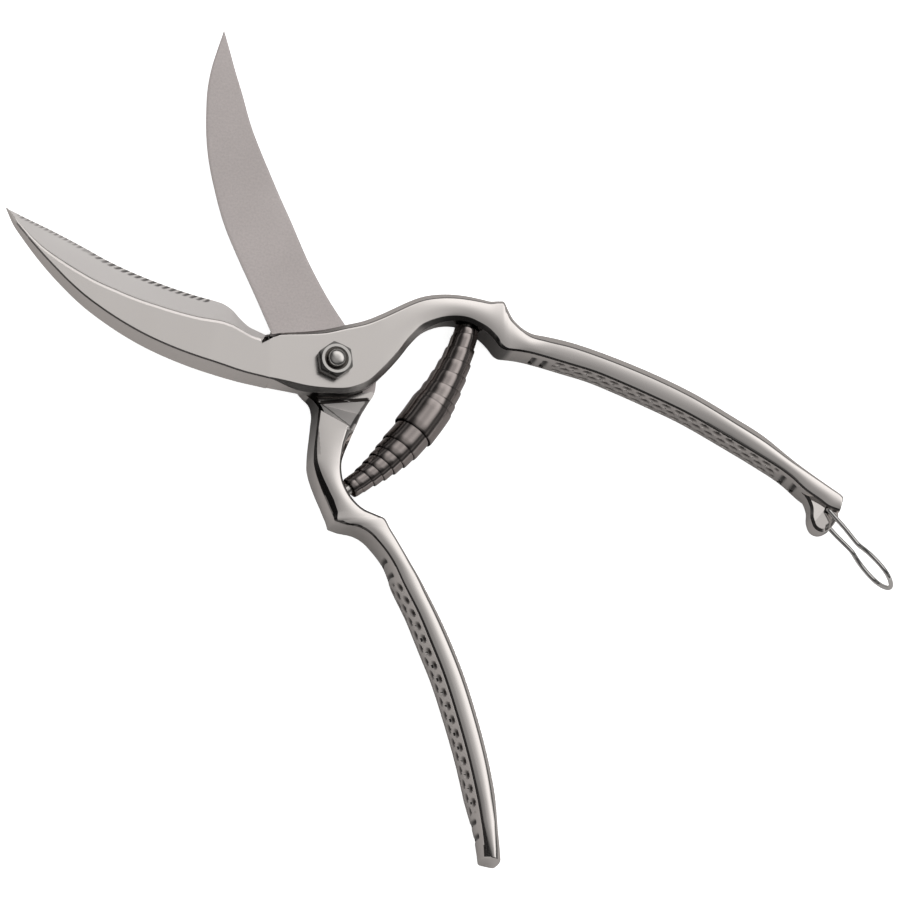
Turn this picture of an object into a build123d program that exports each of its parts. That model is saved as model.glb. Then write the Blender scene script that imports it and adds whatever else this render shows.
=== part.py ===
from build123d import *
import math
import os

# Poultry shears: two forged levers on one bolt, a double volute spring between the
# handles and a wire latch loop on the end of the front handle.
# Frame: +Z is the pivot axis, the origin is on that axis at the back of the rear lever.
# The blades slide on each other at z = 6. All sizes in millimetres. Shown open: the front
# blade points to -X and its handle to +X, the rear blade to +Y and its handle to -Y.

# ---- driving dimensions -------------------------------------------------------------
PLATE_T = 6.0          # thickness of each lever at the pivot
HANDLE_T = 12.0        # thickness of both handles, along the pivot axis
SLIDE_GAP = 0.02       # running gap between the two plates
REAR_TOP = PLATE_T - SLIDE_GAP   # sliding face of the rear lever
MID_Z = HANDLE_T / 2   # middle plane of the handles

BOLT_R = 2.5           # shank of the pivot bolt
BOLT_RUN = 0.05        # radial running clearance in the front lever
BOLT_FIT = 0.03        # clearance in the rear lever
BOLT_HEAD_R = 5.2      # countersunk head, flush with the back
BOLT_HEAD_H = 2.2
SQUARE_NECK = 6.0      # square under the head, keys the bolt to the rear lever
SQUARE_BOTTOM = 0.63
SQUARE_TOP = 4.4
BOLT_END_Z = 17.7      # top of the domed end
DOME_H = 1.0

NUT_AF = 9.0           # across flats
NUT_H = 4.0
NUT_GAP = 0.03         # running gap under the nut
NUT_TURN = 95.0        # direction of one corner of the nut, degrees
NUT_CHAMFER = 30.0     # degrees
NUT_FLAT_SHARE = 0.95  # flat top of the nut, as a share of the width across flats
NUT_BORE_FIT = 0.02
NUT_SINK = 0.9         # countersink of the nut, width and depth

PEG_R = 1.7            # pegs that hold the spring's ends
PEG_LEN = 7.0
PEG_FIT = 0.02
PEG_DEPTH_REAR = 3.0   # from the spring's end into the handle
PEG_DEPTH_FRONT = 3.2

BACK_BEVEL = 0.5       # edge bevel on the back of both handles
FACE_BEVEL_DEPTH = 1.6 # greatest depth of the bevels on the face
GROOVE_R = 0.7         # grooves across the grips, short of both faces
GROOVE_LEN = 7.0
CUT_TOP = 20.0         # top of the cutters above the rear plate


# ---- helpers ------------------------------------------------------------------------
def lerp(a, b, t):
    return tuple(x + (y - x) * t for x, y in zip(a, b))


def path_length(points):
    return sum(math.dist(a, b) for a, b in zip(points, points[1:]))


def along(points, t):
    """Point at fraction t of the length of a polyline."""
    left = t * path_length(points)
    for a, b in zip(points, points[1:]):
        step = math.dist(a, b)
        if left <= step:
            return lerp(a, b, left / step)
        left -= step
    return points[-1]


def look_up(rows, x):
    """Linear look-up in rows of (x, value)."""
    if x <= rows[0][0]:
        return rows[0][1]
    for (x0, v0), (x1, v1) in zip(rows, rows[1:]):
        if x <= x1:
            return v0 + (v1 - v0) * (x - x0) / (x1 - x0)
    return rows[-1][1]


def polygon(points):
    return Wire.make_polygon([Vector(*p) for p in points], close=True)


def skin(sections):
    """Solid ruled through sections with the same number of corners."""
    return Solid.make_loft([polygon(s) for s in sections], ruled=True)


def plate(points, z0, z1):
    """Prism over a closed outline."""
    face = Face(polygon([(x, y, z0) for x, y in points]))
    return Solid.extrude(face, Vector(0, 0, z1 - z0))


def square(half, z0, z1):
    return plate([(-half, -half), (half, -half), (half, half), (-half, half)], z0, z1)


def cylinder(radius, height, x, y, z):
    return Solid.make_cylinder(radius, height, Plane(origin=(x, y, z)))


def cone(radius, top_radius, height, z):
    return Solid.make_cone(radius, top_radius, height, Plane(origin=(0, 0, z)))


def sphere(radius, centre):
    return Solid.make_sphere(radius, Plane(origin=centre), -90, 90, 360)


# ---- sections shared by both levers -------------------------------------------------
EDGE_T = 0.35          # thickness at the cutting edge
# (place from tip 0 to pivot 1, thickness)
BLADE_T = [(0.0, 1.6), (0.08, 2.6), (0.2, 3.7), (0.4, 4.8), (0.6, 5.4), (0.8, 5.8), (1.0, 6.0)]
# (place, share of the width from the spine foot) for the spine crest and the grind line
CREST = [(0.0, 0.30), (0.1, 0.14), (0.3, 0.115), (0.6, 0.11), (1.0, 0.105)]
GRIND = [(0.0, 0.34), (0.1, 0.16), (0.2, 0.17), (0.3, 0.31), (0.45, 0.46), (0.6, 0.55),
         (0.8, 0.62), (1.0, 0.69)]


def blade(edge, spine, steps, side, start, end):
    """Blade length between places start and end of the tables above.
    side +1: body above the sliding plane. side -1: below it."""
    z = PLATE_T if side > 0 else REAR_TOP
    sections = []
    for i in range(steps + 1):
        cut, foot = along(edge, i / steps), along(spine, i / steps)
        place = start + (end - start) * (i / steps)
        z_body = z + side * look_up(BLADE_T, place)
        crest = lerp(foot, cut, look_up(CREST, place))
        grind = lerp(foot, cut, look_up(GRIND, place))
        sections.append([(*cut, z), (*cut, z + side * EDGE_T), (*grind, z_body),
                         (*crest, z_body), (*foot, z)])
    return skin(sections)


def bar_section(a, b, z_back, z_face, bevel_a, bevel_b):
    """Eight-cornered section between outer points a and b, with its four edges bevelled.
    bevel_a and bevel_b are the bevel widths at the face."""
    width = math.dist(a, b)
    from_a = lambda d: lerp(a, b, d / width)
    from_b = lambda d: lerp(b, a, d / width)
    return [
        (*a, z_back + BACK_BEVEL), (*a, z_face - min(bevel_a, FACE_BEVEL_DEPTH)),
        (*from_a(bevel_a), z_face), (*from_b(bevel_b), z_face),
        (*b, z_face - min(bevel_b, FACE_BEVEL_DEPTH)), (*b, z_back + BACK_BEVEL),
        (*from_b(BACK_BEVEL), z_back), (*from_a(BACK_BEVEL), z_back),
    ]


def cut_grooves(lever, places):
    for x, y in places:
        lever = lever.cut(cylinder(GROOVE_R, GROOVE_LEN, x, y, (HANDLE_T - GROOVE_LEN) / 2))
    return lever


# ---- spring axis and pegs -----------------------------------------------------------
SPRING_ARC_C = (-43.18, 37.19)   # centre of the arc that the spring's axis follows
SPRING_ARC_R = 86.69
SPRING_LOW = (4.57, -35.16)      # the axis starts at the rear handle
SPRING_TOP = (39.73, 11.88)      # and ends at the front handle


def arc_angle(point):
    return math.atan2(point[1] - SPRING_ARC_C[1], point[0] - SPRING_ARC_C[0])


ANGLE_LOW = arc_angle(SPRING_LOW)
AXIS_LEN = SPRING_ARC_R * (arc_angle(SPRING_TOP) - ANGLE_LOW)


def on_spring(s, radius, phi):
    """Point at arc length s from the lower end, radius and angle phi about the axis."""
    angle = ANGLE_LOW + s / SPRING_ARC_R
    rho = SPRING_ARC_R + radius * math.cos(phi)
    return (SPRING_ARC_C[0] + rho * math.cos(angle), SPRING_ARC_C[1] + rho * math.sin(angle),
            MID_Z + radius * math.sin(phi))


def peg(s, side, depth, fit=0.0):
    """Peg along the spring's axis, starting depth beyond s. side +1: the front handle,
    side -1: the rear handle. fit widens it and shifts it deeper, for its hole."""
    angle = ANGLE_LOW + s / SPRING_ARC_R
    outward = Vector(-math.sin(angle), math.cos(angle), 0) * side
    origin = Vector(*on_spring(s, 0, 0)) + outward * (depth + fit)
    return Solid.make_cylinder(PEG_R + fit, PEG_LEN, Plane(origin=origin, z_dir=outward * -1))


def peg_front(fit=0.0):
    return peg(AXIS_LEN, +1, PEG_DEPTH_FRONT, fit)


def peg_rear(fit=0.0):
    return peg(0.0, -1, PEG_DEPTH_REAR, fit)


# ---- front lever --------------------------------------------------------------------
# Blade outlines (x, y), from the tip towards the pivot; the spine is its foot at z = 6.
FRONT_EDGE = [(-91.6, 43.5), (-79.5, 37.8), (-70.1, 33.0), (-63.0, 29.1), (-56.0, 25.9),
              (-46.5, 22.3), (-37.1, 19.4), (-30.4, 17.7)]
FRONT_RECESS = [(-30.4, 17.7), (-27.6, 15.8), (-25.3, 13.2), (-23.0, 11.1), (-19.8, 9.5),
                (-16.4, 8.5)]
FRONT_SPINE = [(-91.5, 42.9), (-89.6, 38.6), (-86.7, 34.2), (-83.6, 29.9), (-79.8, 25.2),
               (-75.4, 20.4), (-70.6, 15.8), (-61.2, 8.9), (-54.2, 4.8), (-47.1, 1.5),
               (-40.0, -1.2), (-32.9, -3.4)]
FRONT_SPINE_END = [(-32.9, -3.4), (-26.5, -5.1), (-20.2, -6.4), (-14.5, -7.3)]
FRONT_RECESS_PLACE = 0.84   # where the recess starts, in the blade tables

# Plate, arch and handle: outer points on the upper side and the lower (spring) side,
# z of the back, bevel widths at the face (upper, lower).
FRONT_BAR = [
    ((-15.9, 8.1), (-14.5, -7.6), 6.0, 1.3, 1.9),
    ((-9.5, 8.6), (-8.5, -8.4), 6.0, 1.5, 1.5),
    ((-2.0, 9.7), (-1.5, -8.8), 6.0, 1.5, 1.3),
    ((3.7, 11.1), (4.5, -8.5), 6.0, 1.5, 1.3),
    ((9.4, 12.6), (10.5, -6.2), 6.0, 1.6, 1.5),
    ((14.0, 14.5), (15.2, -2.1), 6.0, 1.6, 1.6),
    ((18.5, 16.7), (19.3, 2.3), 6.0, 1.6, 1.6),
    ((22.4, 18.6), (22.9, 6.8), 6.0, 1.6, 1.6),
    ((26.0, 20.0), (26.4, 10.3), 5.4, 1.6, 1.5),
    ((30.0, 20.8), (30.5, 12.4), 4.6, 1.6, 1.3),
    ((34.5, 21.0), (34.5, 13.3), 3.4, 1.5, 1.2),
    ((39.0, 20.6), (38.5, 13.2), 1.8, 1.4, 1.1),
    ((43.0, 19.8), (41.6, 12.0), 0.4, 1.2, 1.1),
    ((46.0, 19.15), (44.5, 10.2), 0.0, 1.0, 1.1),
    ((48.1, 19.25), (46.6, 8.0), 0.0, 0.8, 1.1),
    ((49.6, 18.8), (48.2, 5.9), 0.0, 0.9, 1.0),
    ((50.5, 17.5), (49.4, 5.1), 0.0, 1.1, 0.8),
    ((51.9, 14.8), (51.2, 4.8), 0.0, 1.3, 0.5),
    ((54.1, 12.5), (53.4, 4.5), 0.0, 1.5, 0.4),
    ((57.3, 10.5), (56.5, 3.9), 0.0, 1.5, 0.4),
    ((61.7, 9.2), (60.6, 2.9), 0.0, 1.5, 0.4),
    ((68.4, 7.7), (66.8, 1.2), 0.0, 1.5, 0.4),
    ((77.1, 5.0), (75.2, -1.2), 0.0, 1.4, 0.4),
    ((85.8, 1.8), (83.6, -4.5), 0.0, 1.4, 0.4),
    ((94.5, -1.8), (92.0, -8.1), 0.0, 1.3, 0.4),
    ((103.3, -6.0), (100.5, -12.0), 0.0, 1.2, 0.4),
    ((116.0, -13.4), (112.9, -18.9), 0.0, 1.0, 0.4),
    ((125.1, -19.0), (121.9, -24.2), 0.0, 0.9, 0.4),
    ((133.8, -25.6), (130.3, -29.6), 0.0, 0.8, 0.4),
    ((139.3, -30.0), (135.2, -34.0), 0.0, 0.8, 0.5),
    ((143.0, -33.0), (138.6, -36.4), 0.0, 0.8, 0.5),
    ((145.7, -35.4), (144.6, -39.5), 0.0, 0.8, 0.5),
]
# Outline of the hook nub at the end of the handle, and its z range
NUB = [(131.5, -29.5), (133.6, -31.6), (135.6, -34.4), (136.9, -37.7), (136.9, -41.3),
       (137.9, -43.6), (139.8, -44.5), (142.0, -43.7), (143.8, -41.6), (144.6, -39.3),
       (142.8, -37.0), (138.0, -31.5)]
NUB_Z = (2.0, 10.0)
# Outline of a flat land that closes the sliding face under the heel of the blade
LAND = [(-20.2, -6.4), (-14.5, -7.5), (-1.5, -8.7), (-2.0, 9.6), (-9.5, 8.5), (-16.0, 8.0),
        (-19.8, 9.3)]
LAND_T = 1.0
FRONT_GROOVES = [(60.6, 2.55), (63.7, 1.65), (130.6, -28.85), (127.9, -27.25)]
LOOP_HOLE = (141.35, -38.75)
LOOP_HOLE_R = 0.76

TOOTH_PITCH = 2.05
TOOTH_HEEL_GAP = 0.8   # first serration, from the heel end of the edge
TOOTH_TIP_GAP = 12.0   # length without serrations at the tip
TOOTH_R_HEEL = 0.42    # groove radius in the half of the edge next to the heel
TOOTH_R_TIP = 0.30
TOOTH_LEN = 2.9
TOOTH_LEAD = 1.0       # the groove starts this far outside the edge
TOOTH_SLANT = 45.0     # degrees between groove and edge
TOOTH_RISE = 0.22      # rise of the groove's axis away from the edge
TOOTH_Z = 0.62         # height of the axis over the sliding plane at the edge
TANGENT_STEP = 0.5     # step that finds the direction of the edge


def serrations():
    """Short slanting grooves across the ground side of the edge."""
    total = path_length(FRONT_EDGE)
    teeth = []
    s = total - TOOTH_HEEL_GAP
    while s > TOOTH_TIP_GAP:
        x, y = along(FRONT_EDGE, s / total)
        next_x, next_y = along(FRONT_EDGE, min(1.0, (s + TANGENT_STEP) / total))
        heading = math.degrees(math.atan2(next_y - y, next_x - x)) - TOOTH_SLANT
        angle = math.radians(heading)
        direction = Vector(math.cos(angle), math.sin(angle), TOOTH_RISE)
        start = Vector(x, y, PLATE_T + TOOTH_Z) - direction * TOOTH_LEAD
        radius = TOOTH_R_HEEL if s > 0.5 * total else TOOTH_R_TIP
        teeth.append(Solid.make_cylinder(radius, TOOTH_LEN, Plane(origin=start, z_dir=direction)))
        s -= TOOTH_PITCH
    return teeth


def front_lever():
    lever = blade(FRONT_EDGE, FRONT_SPINE, 22, +1, 0.0, FRONT_RECESS_PLACE)
    lever += blade(FRONT_RECESS, FRONT_SPINE_END, 8, +1, FRONT_RECESS_PLACE, 1.0)
    lever += skin([bar_section(upper, lower, z_back, HANDLE_T, bevel_upper, bevel_lower)
                   for upper, lower, z_back, bevel_upper, bevel_lower in FRONT_BAR])
    lever += plate(NUB, *NUB_Z)
    lever += plate(LAND, PLATE_T, PLATE_T + LAND_T)
    lever = lever.cut(*serrations())
    lever = lever.cut(cylinder(BOLT_R + BOLT_RUN, 8, 0, 0, PLATE_T - 1))
    lever = lever.cut(cylinder(LOOP_HOLE_R, HANDLE_T + 2, *LOOP_HOLE, -1))
    lever = cut_grooves(lever, FRONT_GROOVES)
    return lever.cut(peg_front(PEG_FIT))


# ---- rear lever ---------------------------------------------------------------------
# Blade outlines (x, y), from the tip towards the pivot
REAR_EDGE = [(-27.8, 97.4), (-31.8, 85.8), (-33.5, 74.1), (-33.5, 62.4), (-31.9, 51.6),
             (-29.3, 40.9), (-25.5, 31.0)]
REAR_SPINE = [(-27.6, 97.0), (-26.3, 91.8), (-23.3, 80.2), (-20.3, 68.6), (-15.7, 56.3),
              (-10.3, 43.1), (-4.9, 29.9)]
REAR_HEEL = [(-25.5, 31.0), (-21.6, 21.9), (-16.6, 9.5)]
REAR_HEEL_SPINE = [(-4.9, 29.9), (0.6, 19.2), (5.4, 11.6)]
REAR_HEEL_PLACE = 0.8       # where the heel starts, in the blade tables
# Outline of the plate under the front lever and the root of the neck
REAR_PLATE = [(-16.8, 10.0), (-14.2, 3.0), (-10.5, -4.0), (-7.6, -8.6), (-4.8, -10.6),
              (-4.6, -12.6), (-4.9, -16.5), (5.6, -19.0), (8.5, -13.8), (10.9, -9.9),
              (12.0, -8.0), (12.7, -5.0), (12.7, -1.0), (11.3, 4.0), (8.6, 8.0), (5.4, 11.6)]
# Neck and handle: outer points on the palm side and the spring side,
# bevel widths at the face (palm, spring), thickness trimmed off each face.
REAR_BAR = [
    ((-4.5, -10.6), (11.2, -10.4), 0.5, 1.4, 0.0),
    ((-4.6, -12.6), (9.2, -12.7), 0.5, 1.4, 0.0),
    ((-4.9, -16.5), (7.3, -16.5), 0.5, 1.8, 0.0),
    ((-5.4, -19.6), (5.6, -19.6), 0.5, 2.4, 0.0),
    ((-5.9, -23.1), (3.9, -23.2), 0.5, 1.9, 0.0),
    ((-6.2, -26.0), (2.6, -26.0), 0.5, 1.2, 0.0),
    ((-6.3, -29.0), (1.6, -29.0), 0.9, 0.7, 0.0),
    ((-5.9, -32.3), (1.6, -32.3), 1.5, 0.5, 0.0),
    ((-4.8, -36.4), (2.5, -35.8), 2.3, 0.5, 0.0),
    ((-3.6, -40.0), (4.9, -39.8), 3.1, 0.5, 0.0),
    ((-2.2, -43.6), (8.3, -42.6), 2.9, 0.5, 0.0),
    ((-1.2, -45.9), (11.5, -43.9), 2.0, 0.5, 0.0),
    ((1.8, -46.8), (13.4, -44.7), 1.2, 0.5, 0.0),
    ((5.6, -47.5), (15.0, -47.5), 1.0, 0.5, 0.0),
    ((8.8, -49.2), (17.3, -51.2), 1.2, 0.6, 0.0),
    ((11.0, -51.6), (19.1, -54.3), 1.0, 0.6, 0.0),
    ((13.0, -54.4), (20.9, -57.6), 0.9, 0.6, 0.0),
    ((14.7, -57.4), (22.7, -60.9), 1.0, 0.6, 0.0),
    ((17.1, -63.2), (25.0, -65.8), 1.2, 0.6, 0.0),
    ((20.8, -71.4), (28.2, -72.5), 2.0, 0.9, 0.0),
    ((24.4, -80.9), (31.2, -79.5), 2.0, 0.9, 0.0),
    ((27.5, -89.1), (34.5, -88.3), 2.0, 0.9, 0.0),
    ((31.0, -100.9), (38.1, -100.5), 2.0, 0.9, 0.0),
    ((34.2, -113.5), (41.2, -113.8), 2.0, 0.9, 0.0),
    ((36.6, -125.4), (43.0, -125.0), 1.9, 0.9, 0.0),
    ((38.0, -133.9), (43.9, -133.6), 1.1, 0.6, 0.30),
    ((38.8, -139.4), (44.4, -139.5), 1.0, 0.8, 0.60),
    ((39.15, -141.2), (44.5, -142.2), 1.6, 1.2, 0.60),
    ((39.6, -141.9), (44.1, -142.9), 1.4, 1.2, 1.00),
]
# Outline of the front lever near the pivot, and the enlargement that clears it
SWING = [(-20.2, -6.6), (-14.5, -7.7), (-8.5, -8.6), (-1.5, -9.0), (4.5, -8.7), (10.5, -6.4),
         (15.2, -2.3), (19.3, 2.1), (22.9, 6.6), (26.4, 10.1), (30.5, 12.2), (30.0, 21.0),
         (14.0, 14.7), (-2.0, 9.9), (-19.8, 9.7)]
SWING_SCALE = 1.012
SWING_DROP = 0.25
SWING_ANGLES = (2, 5, 10, 15, 20, 25, 30, 35, 40, 45, 50.5)   # closing, degrees
PIVOT_CLEAR_R = 10.5
# Foot and head lines of the sloping facet (x, y), and z of the head
FACET_FOOT = [(-3.2, -10.3), (14.5, -9.3)]
FACET_HEAD = [(4.3, -19.2), (4.9, -19.0)]
FACET_HEAD_Z = 12.2
SLIVER_VOLUME = 200    # smaller left-overs of the neck are dropped
REAR_GROOVES = [(13.85, -55.7), (15.45, -59.0), (37.45, -130.7), (37.85, -134.2)]


def swing_room():
    """Room above the sliding plane for the front lever, through the whole closing swing."""
    outline = [(x * SWING_SCALE, y * SWING_SCALE - SWING_DROP) for x, y in SWING]
    opened = plate(outline, REAR_TOP, CUT_TOP)
    turned = [opened.rotate(Axis.Z, -angle) for angle in SWING_ANGLES]
    return [opened, *turned, cylinder(PIVOT_CLEAR_R, 14, 0, 0, REAR_TOP)]


def facet_section(line, z):
    (x0, y0), (x1, y1) = line
    return [(x0, y0, z), (x1, y1, z), (x1, y1, CUT_TOP), (x0, y0, CUT_TOP)]


def rear_lever():
    lever = blade(REAR_EDGE, REAR_SPINE, 20, -1, 0.0, REAR_HEEL_PLACE)
    lever += blade(REAR_HEEL, REAR_HEEL_SPINE, 6, -1, REAR_HEEL_PLACE, 1.0)
    lever += plate(REAR_PLATE, 0.0, REAR_TOP)

    bar = skin([bar_section(palm, spring, trim, HANDLE_T - trim, bevel_palm, bevel_spring)
                for palm, spring, bevel_palm, bevel_spring, trim in REAR_BAR])
    bar = bar.cut(*swing_room())
    # sloping facet from the bearing surface up to the face of the handle
    bar = bar.cut(skin([facet_section(FACET_FOOT, REAR_TOP),
                        facet_section(FACET_HEAD, FACET_HEAD_Z)]))
    lever = lever.fuse(*[piece for piece in bar.solids() if piece.volume > SLIVER_VOLUME])

    # countersunk and square hole for the bolt
    lever = lever.cut(cone(BOLT_HEAD_R + BOLT_FIT, BOLT_R + BOLT_FIT, BOLT_HEAD_H, 0))
    lever = lever.cut(
        square(SQUARE_NECK / 2 + BOLT_FIT, SQUARE_BOTTOM - BOLT_FIT, SQUARE_TOP + BOLT_FIT))
    lever = lever.cut(cylinder(BOLT_R + BOLT_FIT, 8, 0, 0, -0.5))
    lever = cut_grooves(lever, REAR_GROOVES)
    return lever.cut(peg_rear(PEG_FIT))


# ---- pivot bolt and nut -------------------------------------------------------------
def pivot_bolt():
    dome_z = BOLT_END_Z - DOME_H
    bolt = cone(BOLT_HEAD_R, BOLT_R, BOLT_HEAD_H, 0)
    bolt = bolt.fuse(
        square(SQUARE_NECK / 2, SQUARE_BOTTOM, SQUARE_TOP),
        cylinder(BOLT_R, dome_z, 0, 0, 0),
    )
    dome_r = (BOLT_R ** 2 + DOME_H ** 2) / (2 * DOME_H)
    dome = sphere(dome_r, (0, 0, BOLT_END_Z - dome_r))
    dome = dome.intersect(cylinder(BOLT_R, DOME_H, 0, 0, dome_z))
    return bolt.fuse(*dome.solids())


def pivot_nut():
    z = HANDLE_T + NUT_GAP
    corner_r = NUT_AF / math.sqrt(3)
    angles = [math.radians(NUT_TURN + 60 * i) for i in range(6)]
    nut = plate([(corner_r * math.cos(a), corner_r * math.sin(a)) for a in angles], z, z + NUT_H)
    # a wide cone chamfers the corners at the top rim
    flat_r = NUT_AF / 2 * NUT_FLAT_SHARE
    height = NUT_H + 2
    foot_r = flat_r + height / math.tan(math.radians(NUT_CHAMFER))
    nut = nut.intersect(cone(foot_r, flat_r, height, z - 2)).solids()[0]
    nut = nut.cut(cylinder(BOLT_R + NUT_BORE_FIT, 10, 0, 0, z - 2))
    return nut.cut(cone(BOLT_R, BOLT_R + NUT_SINK, NUT_SINK, z + NUT_H - NUT_SINK))


# ---- double volute spring -----------------------------------------------------------
STRIP_T = 0.30         # spring strip
TURNS = 7
TURN_STEPS = 20        # straight steps per turn of the strip
PITCH_POWER = 0.92     # below 1: the turns lie closer towards the wide end
SPRING_END_GAP = 0.6   # from each end of the axis to the strip


def volute(s_small, s_big, r_small, r_big, width_small, width_big):
    """Strip wound in a cone about the spring's axis, as a closed solid of triangles.
    s_small is the outer end of the narrowest turn."""
    steps = TURNS * TURN_STEPS
    sign = 1 if s_big > s_small else -1
    rows = []
    for i in range(steps + 1):
        f = i / steps
        phi = -sign * 2 * math.pi * TURNS * f
        outer = r_small + (r_big - r_small) * f
        inner = outer - STRIP_T
        s0 = s_small + (s_big - s_small) * f ** PITCH_POWER
        s1 = s0 + sign * (width_small + (width_big - width_small) * f)
        rows.append([on_spring(s0, outer, phi), on_spring(s0, inner, phi),
                     on_spring(s1, inner, phi), on_spring(s1, outer, phi)])
    quads = [(p[j], p[(j + 1) % 4], q[(j + 1) % 4], q[j])
             for p, q in zip(rows, rows[1:]) for j in range(4)]
    quads += [rows[0], rows[-1]]
    faces = []
    for a, b, c, d in quads:
        faces += [Face(polygon([a, b, c])), Face(polygon([a, c, d]))]
    return Solid(Shell(faces))


# ---- latch loop ---------------------------------------------------------------------
WIRE_R = 0.68
LOOP_DIR = -48.5       # direction of the loop at rest, degrees
# Half of the wire's path: (distance from the hole, distance from the middle plane)
LOOP_HALF = [(0.0, 4.85), (1.0, 4.95), (7.0, 4.85), (12.2, 4.0), (13.6, 4.1), (16.5, 5.7),
             (19.5, 6.38), (22.5, 6.25), (25.5, 4.7), (27.3, 2.3), (27.75, 0.0)]


def latch_loop():
    angle = math.radians(LOOP_DIR)
    direction = Vector(math.cos(angle), math.sin(angle), 0)
    stations = LOOP_HALF + [(s, -z) for s, z in reversed(LOOP_HALF[:-1])]
    path = [Vector(*LOOP_HOLE, MID_Z + z) + direction * s for s, z in stations]
    pieces = [Solid.make_cylinder(WIRE_R, (b - a).length, Plane(origin=a, z_dir=b - a))
              for a, b in zip(path, path[1:] + path[:1])]
    pieces += [sphere(WIRE_R, point) for point in path]
    return pieces[0].fuse(*pieces[1:])


# ---- write the pieces ---------------------------------------------------------------
PIECES = {
    "front_lever": front_lever(),
    "rear_lever": rear_lever(),
    "pivot_bolt": pivot_bolt(),
    "pivot_nut": pivot_nut(),
    "spring_volute_lower": volute(SPRING_END_GAP, 19.3, r_small=3.1, r_big=5.5,
                                  width_small=4.4, width_big=8.0),
    "spring_volute_upper": volute(AXIS_LEN - SPRING_END_GAP, 35.0, r_small=3.45, r_big=6.3,
                                  width_small=4.6, width_big=9.6),
    "spring_peg_front": peg_front(),
    "spring_peg_rear": peg_rear(),
    "latch_loop": latch_loop(),
}

os.makedirs("parts", exist_ok=True)
for name, shape in PIECES.items():
    # the largest solid is the piece
    export_step(max(shape.solids(), key=lambda solid: solid.volume), f"parts/{name}.step")
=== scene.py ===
# Forged shears lying flat: two crossing levers, a bolt and nut, two volute spring strips, a wire loop.
# The pivot axis is z through the origin. The blades point to +y and to -x +y, the handles to -y and
# to +x -y. Shapes are worked out in millimetres and built in metres.
import bpy
import bmesh
import math
import numpy as np
from collections import namedtuple
from contextlib import contextmanager
from mathutils import Matrix, Vector


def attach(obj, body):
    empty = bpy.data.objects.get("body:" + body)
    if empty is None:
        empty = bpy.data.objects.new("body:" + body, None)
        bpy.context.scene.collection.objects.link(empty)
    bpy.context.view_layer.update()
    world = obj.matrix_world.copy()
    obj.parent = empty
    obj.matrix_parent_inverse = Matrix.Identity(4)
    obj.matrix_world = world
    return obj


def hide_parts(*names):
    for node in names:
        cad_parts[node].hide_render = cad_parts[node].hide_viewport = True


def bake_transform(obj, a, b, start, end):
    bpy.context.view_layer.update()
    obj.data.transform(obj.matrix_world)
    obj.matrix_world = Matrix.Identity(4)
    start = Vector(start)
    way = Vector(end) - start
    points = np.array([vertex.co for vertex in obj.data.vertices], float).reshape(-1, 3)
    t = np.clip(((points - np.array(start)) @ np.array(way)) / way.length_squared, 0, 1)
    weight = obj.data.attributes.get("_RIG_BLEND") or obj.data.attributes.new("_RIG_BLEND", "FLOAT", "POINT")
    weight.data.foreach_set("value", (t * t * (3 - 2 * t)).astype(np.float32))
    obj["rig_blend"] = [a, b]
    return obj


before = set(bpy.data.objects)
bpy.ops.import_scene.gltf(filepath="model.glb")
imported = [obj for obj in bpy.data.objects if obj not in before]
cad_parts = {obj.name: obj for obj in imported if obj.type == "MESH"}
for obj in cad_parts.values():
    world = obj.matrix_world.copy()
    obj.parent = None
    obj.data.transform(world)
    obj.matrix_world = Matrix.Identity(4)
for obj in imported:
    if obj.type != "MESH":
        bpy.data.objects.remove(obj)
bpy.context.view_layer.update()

MM = 0.001
SLIDE = 6.0            # height at which the blades meet
HANDLE_T = 12.0        # full thickness of the levers
MID_Z = HANDLE_T / 2


# ------------------------------------------------------------------ numeric helpers
def spline(knots, values, at):
    """Smooth curve through rows of values at the knots, evaluated at `at`."""
    values = np.asarray(values, float)
    span = np.diff(knots)
    slope = np.diff(values, axis=0) / span[:, None]
    tangent = np.empty_like(values)
    tangent[0], tangent[-1] = slope[0], slope[-1]
    tangent[1:-1] = ((slope[:-1] * span[1:, None] + slope[1:] * span[:-1, None])
                     / (span[:-1] + span[1:])[:, None])
    i = np.clip(np.searchsorted(knots, at, side="right") - 1, 0, len(knots) - 2)
    t = ((at - knots[i]) / span[i])[:, None]
    width = span[i][:, None]
    return ((2 * t**3 - 3 * t**2 + 1) * values[i] + (t**3 - 2 * t**2 + t) * width * tangent[i]
            + (-2 * t**3 + 3 * t**2) * values[i + 1] + (t**3 - t**2) * width * tangent[i + 1])


def chord(points):
    """Distance along a polyline at each of its points."""
    return np.r_[0, np.cumsum(np.hypot(*np.diff(np.asarray(points, float), axis=0).T))]


def spline_closed(points, count):
    wrapped = np.array([points[-1], *points, *points[:2]], float)
    knots = chord(wrapped)
    return spline(knots, wrapped, np.linspace(knots[1], knots[-2], count + 1)[:-1])


def interp(rows, at):
    table = np.array(rows, float)
    return np.interp(at, table[:, 0], table[:, 1])


def smooth(t):
    t = np.clip(t, 0, 1)
    return t * t * (3 - 2 * t)


def rise(value, start, length):
    """0 up to start, easing to 1 over length."""
    return smooth((value - start) / length)


def fall(value, start, length):
    return 1 - rise(value, start, length)


def hump(t, power=2):
    return np.clip(1 - t ** power, 0, 1)


def off_pitch(value, pitch, shift=0.0):
    """Signed distance to the nearest multiple of a pitch, shifted by a share of it."""
    phase = value / pitch + shift
    return (phase - np.round(phase)) * pitch


def unit(vectors):
    return vectors / np.hypot(*vectors.T)[:, None]


def loop_tangents(points):
    return unit(np.roll(points, -1, 0) - np.roll(points, 1, 0))


def inset(outline, distance):
    """A counter-clockwise outline moved inwards."""
    tangent = loop_tangents(outline)
    return outline - np.stack([tangent[:, 1], -tangent[:, 0]], 1) * distance


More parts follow.
